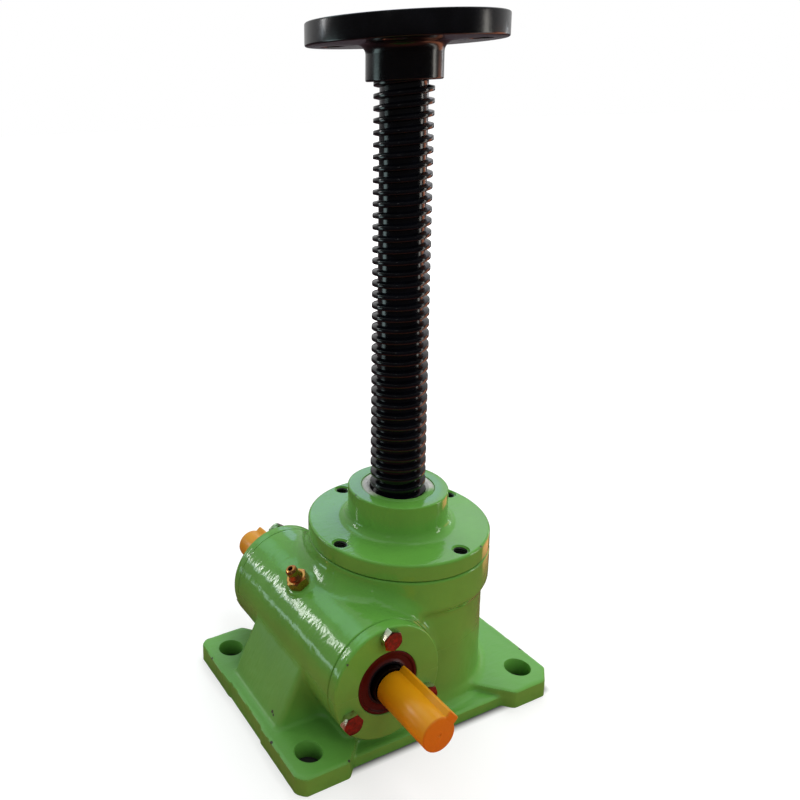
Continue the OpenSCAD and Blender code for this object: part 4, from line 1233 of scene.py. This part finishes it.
class SCREWJACK_OT_grease_nipple(bpy.types.Operator):
    """Button head grease nipple on the tunnel"""
    bl_idname = "screwjack.grease_nipple"
    bl_label = "Grease Nipple"

    def execute(self, context):
        sizes, _, _, colours = settings(context)
        material = metal("copper brass of the nipple", colours.brass, 0.15, tarnish=0.5)
        seat = NIPPLE @ Matrix.Translation((0, 0, sizes.tunnel_radius))
        collar = piece("nipple_hex", raised(hexagon_outline(11.0), 0.6, 5.6), seat)
        carve(collar, [(turned([(0, 0.2), (5.6, 0.2), (6.6, 1.3), (6.6, 4.7), (5.3, 5.61),
                                (0, 5.61)], 72), seat)], operation="INTERSECT")
        head = turned(soften([
            (1.2, -6, 0), (5, -6, 0.5), (5, 0.7, 0), (4.4, 0.9, 0), (4.4, 5.4, 0), (4.1, 5.9, 0.2),
            (3.6, 6.6, 0.4), (2.9, 8.3, 0.6), (2.8, 8.8, 0.2), (3.35, 9.3, 0.3),
            (3.35, 11.3, 0.5), (2.5, 12.2, 0.4), (1.6, 12.5, 0.2), (1.2, 11.9, 0.1)], steps=4), 64)
        body = piece("nipple_head", head, seat)
        finish_piece(collar, "housing_body", "brass", material, "grease_nipple")
        finish_piece(body, "housing_body", "brass", material)
        return {"FINISHED"}


class SCREWJACK_OT_lock_screw(bpy.types.Operator):
    """Socket set screw that locks the top cover"""
    bl_idname = "screwjack.lock_screw"
    bl_label = "Cover Lock Screw"

    def execute(self, context):
        _, _, _, colours = settings(context)
        material = oxide("black set screw", colours.oxide, 0.3)
        obj = socket_screw("cover_grub_screw", [(0, 41), (2.2, 41), (3, 41.8), (3, 48.5),
                                                (2.6, 49), (0, 49)], 46, COVER_LOCK)
        finish_piece(obj, "housing_body", "ground_steel", material, "cover_lock_screw")
        return {"FINISHED"}


class SCREWJACK_OT_wiper_ring(bpy.types.Operator):
    """Wiper ring round the screw at the top of the boss"""
    bl_idname = "screwjack.wiper_ring"
    bl_label = "Wiper Ring"

    def execute(self, context):
        _, _, _, colours = settings(context)
        material = felt("pale wiper ring", colours.felt, colours.enamel)
        low, top, outer = WIPER_LOW.z, WIPER_HIGH.z, WIPER_HIGH.x
        obj = piece("wiper_ring_pressed", turned(soften([
            (SCREW_BORE, low, 0), (outer, low, 0), (outer, top, 0.3), (17.0, top + 0.1, 0.4),
            (SCREW_BORE, top - 0.6, 0.3)], steps=4), 128))
        finish_piece(obj, "housing_body", "wiper_felt", material, "wiper_ring")
        return {"FINISHED"}


class SCREWJACK_OT_inner_parts(bpy.types.Operator):
    """Finishes for the wheel, bearings, bushes, shims and stop ring inside the jack"""
    bl_idname = "screwjack.inner_parts"
    bl_label = "Inner Parts"

    def execute(self, context):
        _, _, _, colours = settings(context)
        steel = metal("hardened bearing steel", colours.steel, 0.12, grain=1200.0, tarnish=0.1)
        bronze = metal("cast bearing bronze", colours.bronze, 0.28, axis="Z", tarnish=0.35)
        brass = metal("pressed brass cage", colours.brass, 0.25, tarnish=0.3)
        shim = metal("rolled shim steel", colours.steel, 0.4, tarnish=0.6)
        stop = metal("blackened stop ring steel", (0.08, 0.08, 0.09), 0.3, tarnish=0.4)
        paint = bpy.data.materials["green enamel on castings"]
        bearings = ["upper_thrust_", "lower_thrust_", "front_bearing_", "rear_bearing_"]
        thrust, tapered = ("seat_race", "wheel_race", "balls"), ("cup", "cone", "rollers")
        groups = {
            steel: [bearing + part for bearing, parts in zip(
                bearings, (thrust, thrust, tapered, tapered)) for part in parts],
            bronze: ["worm_wheel", "upper_guide_bush", "lower_guide_bush"],
            brass: [bearing + "cage" for bearing in bearings],
            shim: ["front_cover_shim"],
            paint: ["rear_cover_shim"],    # painted over with the casting
            stop: ["travel_stop_ring", "stop_ring_pin"]}
        for material, names in groups.items():
            for name in names:
                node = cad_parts[name]
                if not node.material_slots:
                    node.data.materials.append(material)
                for held in node.material_slots:
                    held.material = material
        return {"FINISHED"}


# ---------- stage ----------

LAMP_AIM = Vector((-0.01, 0.0, 0.10))
# name, azimuth and elevation in degrees, distance, width, height, radiance, colour
LAMPS = (
    ("window", 131.5, 22, 1.57, 0.11, 0.42, 15.0, (1.0, 1.0, 1.0)),
    ("window_foot", 130, 12.5, 1.6, 0.12, 0.10, 5.0, (0.75, 0.88, 1.0)),
    ("left_lamp", -145, 25, 1.8, 0.07, 0.05, 14.0, (1.0, 1.0, 1.0)),
    ("right_strip", -32, 9, 1.8, 0.18, 0.50, 6.0, (1.0, 0.97, 0.9)),
    ("right_edge", 13, 4, 1.8, 0.12, 0.40, 4.0, (0.9, 0.95, 1.0)),
    ("warm_wall", 8, 9, 1.6, 0.6, 0.5, 4.2, (1.0, 0.72, 0.42)),
    ("ceiling", 90, 84, 1.7, 1.4, 1.4, 0.4, (0.9, 1.0, 1.0)),
    ("high_glow", 10, 62, 2.0, 1.0, 1.0, 4.2, (1.0, 1.0, 1.0)),
    ("sky_glow", 60, 42, 2.0, 1.2, 1.2, 2.6, (0.84, 1.0, 0.95)),
    ("front_fill", -80, 38, 1.9, 1.2, 0.9, 2.3, (1.0, 0.98, 0.88)))
# lamps that light the object and have no image in its enamel
UNREFLECTED = ("front_fill", "sky_glow", "high_glow", "warm_wall")
# azimuth, elevation, inner and outer radius in degrees, colour of the sky that enamel mirrors
SKY = ((57, 28, 6, 10, (1.3, 1.4, 2.2)), (43, 33, 8, 15, (1.3, 1.3, 1.5)),
       (104, 46, 5, 17, (1.1, 1.7, 1.6)))
# azimuth, half width in degrees, start and colour of the bright floor that enamel mirrors
BRIGHT_FLOOR = ((143, 12, 0.5, (2.2, 3.0, 3.0)), (-27, 6, 0.25, (3.0, 3.0, 2.8)),
                (0, 13, 0.13, (2.0, 0.7, 0.35)))
CAMERA_PLACE = (-0.2604, -0.3444, 0.3299)
CAMERA_ANGLES = (-23.828, 13.975, -2.326)    # azimuth, elevation and roll in degrees
CAMERA_SHIFT = (0.2334, -0.1225)
BLACK, WHITE = (0, 0, 0, 1), (1, 1, 1, 1)


def direction(azimuth, elevation):
    a, e = math.radians(azimuth), math.radians(elevation)
    return Vector((math.cos(a) * math.cos(e), math.sin(a) * math.cos(e), math.sin(e)))


def cosine(degrees):
    return math.cos(math.radians(degrees))


def area_light(name, azimuth, elevation, distance, wide, high, radiance, colour):
    """A softbox that faces the jack from a direction."""
    data = bpy.data.lights.new(name, "AREA")
    data.shape, data.size, data.size_y = "RECTANGLE", wide, high
    data.energy, data.color = radiance * math.pi * wide * high, colour
    light = bpy.data.objects.new(name, data)
    back = direction(azimuth, elevation)
    light.location = LAMP_AIM + back * distance
    light.rotation_mode = "QUATERNION"
    light.rotation_quaternion = back.to_track_quat("Z", "Y")
    light.visible_camera = False
    light.visible_glossy = name not in UNREFLECTED
    bpy.context.scene.collection.objects.link(light)


class SCREWJACK_OT_stage(bpy.types.Operator):
    """Pale floor, soft studio light, plain surroundings and the camera"""
    bl_idname = "screwjack.stage"
    bl_label = "Stage"

    def execute(self, context):
        scene = context.scene
        scene.view_settings.view_transform = "Standard"
        self.camera(scene)
        self.surroundings(scene)
        self.floor()
        for lamp in LAMPS:
            area_light(*lamp)
        return {"FINISHED"}

    def camera(self, scene):
        data = bpy.data.cameras.new("camera")
        data.sensor_width, data.lens = 36.0, 36.89
        data.shift_x, data.shift_y = CAMERA_SHIFT
        data.clip_start, data.clip_end = 0.01, 50.0
        az, el, roll = map(math.radians, CAMERA_ANGLES)
        back = Vector((math.sin(az) * math.cos(el), -math.cos(az) * math.cos(el), math.sin(el)))
        right = Vector((math.cos(az), math.sin(az), 0.0))
        up = back.cross(right)
        side = right * math.cos(roll) + up * math.sin(roll)
        rise = up * math.cos(roll) - right * math.sin(roll)
        camera = bpy.data.objects.new("camera", data)
        camera.matrix_world = Matrix.Translation(CAMERA_PLACE) @ Matrix(
            (side, rise, back)).transposed().to_4x4()
        scene.collection.objects.link(camera)
        scene.camera = camera

    def surroundings(self, scene):
        """White to the camera, soft light on the jack, and a darker room for mirror images."""
        world = scene.world or bpy.data.worlds.new("surroundings")
        scene.world = world
        world.use_nodes = True
        world.node_tree.nodes.clear()
        net = Net(world.node_tree)
        path = net.add("ShaderNodeLightPath")
        way = net.add("ShaderNodeTexCoord")["Generated"]
        toward = net.vector("DOT_PRODUCT", way, (0.50, 0.85, 0.16))
        room = net.blend(0.06 + toward.ramp(-0.25, 0.85) * 0.55, BLACK, WHITE)
        for azimuth, elevation, inner, outer, colour in SKY:
            near = net.vector("DOT_PRODUCT", way, direction(azimuth, elevation)).ramp(
                cosine(outer), cosine(inner))
            room = net.vector("MAXIMUM", room, net.vector("SCALE", colour, near))
        soft, mirror, white = [
            net.add("ShaderNodeBackground", None, {"Color": colour, "Strength": strength})
            for colour, strength in ((WHITE, 0.56), (room, 1.0), (WHITE, 1.0))]
        seen = net.add("ShaderNodeMixShader", None, {0: path["Is Glossy Ray"], 1: soft, 2: mirror})
        seen = net.add("ShaderNodeMixShader", None, {
            0: path["Is Camera Ray"].most(path["Is Transmission Ray"]), 1: seen, 2: white})
        net.add("ShaderNodeOutputWorld", None, {"Surface": seen})

    def floor(self):
        """White to the camera with the jack's shadow, reddish and darker for other rays, with a
        painted shadow under the base.
        """
        top, under = -0.25, -2.0
        obj = piece("studio_floor", turned([(0, top), (600, top), (2000, top), (9000, top),
                                            (9000, under), (0, under)], 64))
        material, net, shader, place = finish("pale floor")
        x, y, _ = net.axes(place)
        far = length(x, y)
        path = net.add("ShaderNodeLightPath")
        seen = path["Is Camera Ray"].most(path["Is Transmission Ray"])
        back = (x * 0.42 + y * 0.91 + net.noise(place, 3.0) * 0.1).ramp(-0.06, 0.2)
        middle = (BASE_LOW.x + BASE_HIGH.x) / 2 * MM
        half_l, half_w = (BASE_HIGH.x - BASE_LOW.x) / 2 * MM, BASE_HIGH.y * MM
        # painted shadow: the floor under the base's footprint is made dark and has no glow
        painted_shadow_under_base = ((1.0 - (x - middle).size().ramp(half_l - 0.006, half_l))
                   * (1.0 - y.size().ramp(half_w - 0.006, half_w)))
        tone = net.blend(far.ramp(0.2, 0.5), (1.0, 0.28, 0.12, 1), (0.42, 0.26, 0.15, 1))
        tone = net.blend(back, tone, (0.40, 0.34, 0.26, 1))
        shine = net.blend(far.ramp(0.2, 0.35), (0.32, 0.075, 0.05, 1), (0.02, 0.014, 0.016, 1))
        shine = net.blend(back, shine, (0.045, 0.009, 0.014, 1))
        tone = net.blend(path["Is Glossy Ray"], tone, shine)
        tone = net.blend(seen, tone, (0.42, 0.42, 0.42, 1))
        tone = net.blend(painted_shadow_under_base, tone, (0.03, 0.03, 0.028, 1))
        glow = (0.60 + far.ramp(0.35, 1.1) * 0.4) * seen * (1.0 - painted_shadow_under_base)
        glow = net.vector("SCALE", (1.0, 1.0, 1.0), glow)
        for azimuth, half, start, colour in BRIGHT_FLOOR:
            to = direction(azimuth, 0)
            facing = (x * to.x + y * to.y) / far.most(0.01)
            patch = facing.ramp(cosine(half), cosine(half * 0.6))
            patch = patch * far.ramp(start, start * 1.5) * path["Is Glossy Ray"]
            glow = net.vector("ADD", glow, net.vector("SCALE", colour, patch))
        wire(net, shader, Base_Color=tone, Roughness=0.7, Emission_Color=glow,
             Emission_Strength=1.0)
        obj.data.materials.append(material)


# ---------- panel ----------

class SCREWJACK_PT_panel(bpy.types.Panel):
    """Pieces, sizes and colours of the screw jack"""
    bl_idname = "SCREWJACK_PT_panel"
    bl_label = "Screw Jack"
    bl_space_type = "VIEW_3D"
    bl_region_type = "UI"
    bl_category = "Screw Jack"

    def draw(self, context):
        layout = self.layout
        column = layout.column(align=True)
        for operator in OPERATORS:
            column.operator(operator.bl_idname)
        for title, name in zip(("Housing", "Screw and Head", "Worm", "Colours"), GROUPS):
            group = getattr(context.scene, name)
            box = layout.box()
            box.label(text=title)
            for key in group.__annotations__:
                box.prop(group, key)


OPERATORS = (SCREWJACK_OT_stage, SCREWJACK_OT_housing, SCREWJACK_OT_top_cover,
             SCREWJACK_OT_lifting_screw, SCREWJACK_OT_head_plate, SCREWJACK_OT_worm_covers,
             SCREWJACK_OT_cover_bolts, SCREWJACK_OT_shaft_seals, SCREWJACK_OT_worm_shaft,
             SCREWJACK_OT_shaft_caps, SCREWJACK_OT_grease_nipple, SCREWJACK_OT_lock_screw,
             SCREWJACK_OT_wiper_ring, SCREWJACK_OT_inner_parts)


def register():
    for name, group in GROUPS.items():
        bpy.utils.register_class(group)
        setattr(bpy.types.Scene, name, PointerProperty(type=group))
    for operator in OPERATORS:
        bpy.utils.register_class(operator)
    bpy.utils.register_class(SCREWJACK_PT_panel)


def unregister():
    bpy.utils.unregister_class(SCREWJACK_PT_panel)
    for operator in reversed(OPERATORS):
        bpy.utils.unregister_class(operator)
    for name, group in reversed(GROUPS.items()):
        delattr(bpy.types.Scene, name)
        bpy.utils.unregister_class(group)


def main():
    register()
    for operator in OPERATORS:
        getattr(bpy.ops.screwjack, operator.bl_idname.split(".")[1])()
    bpy.context.view_layer.update()


if __name__ == "__main__":
    main()
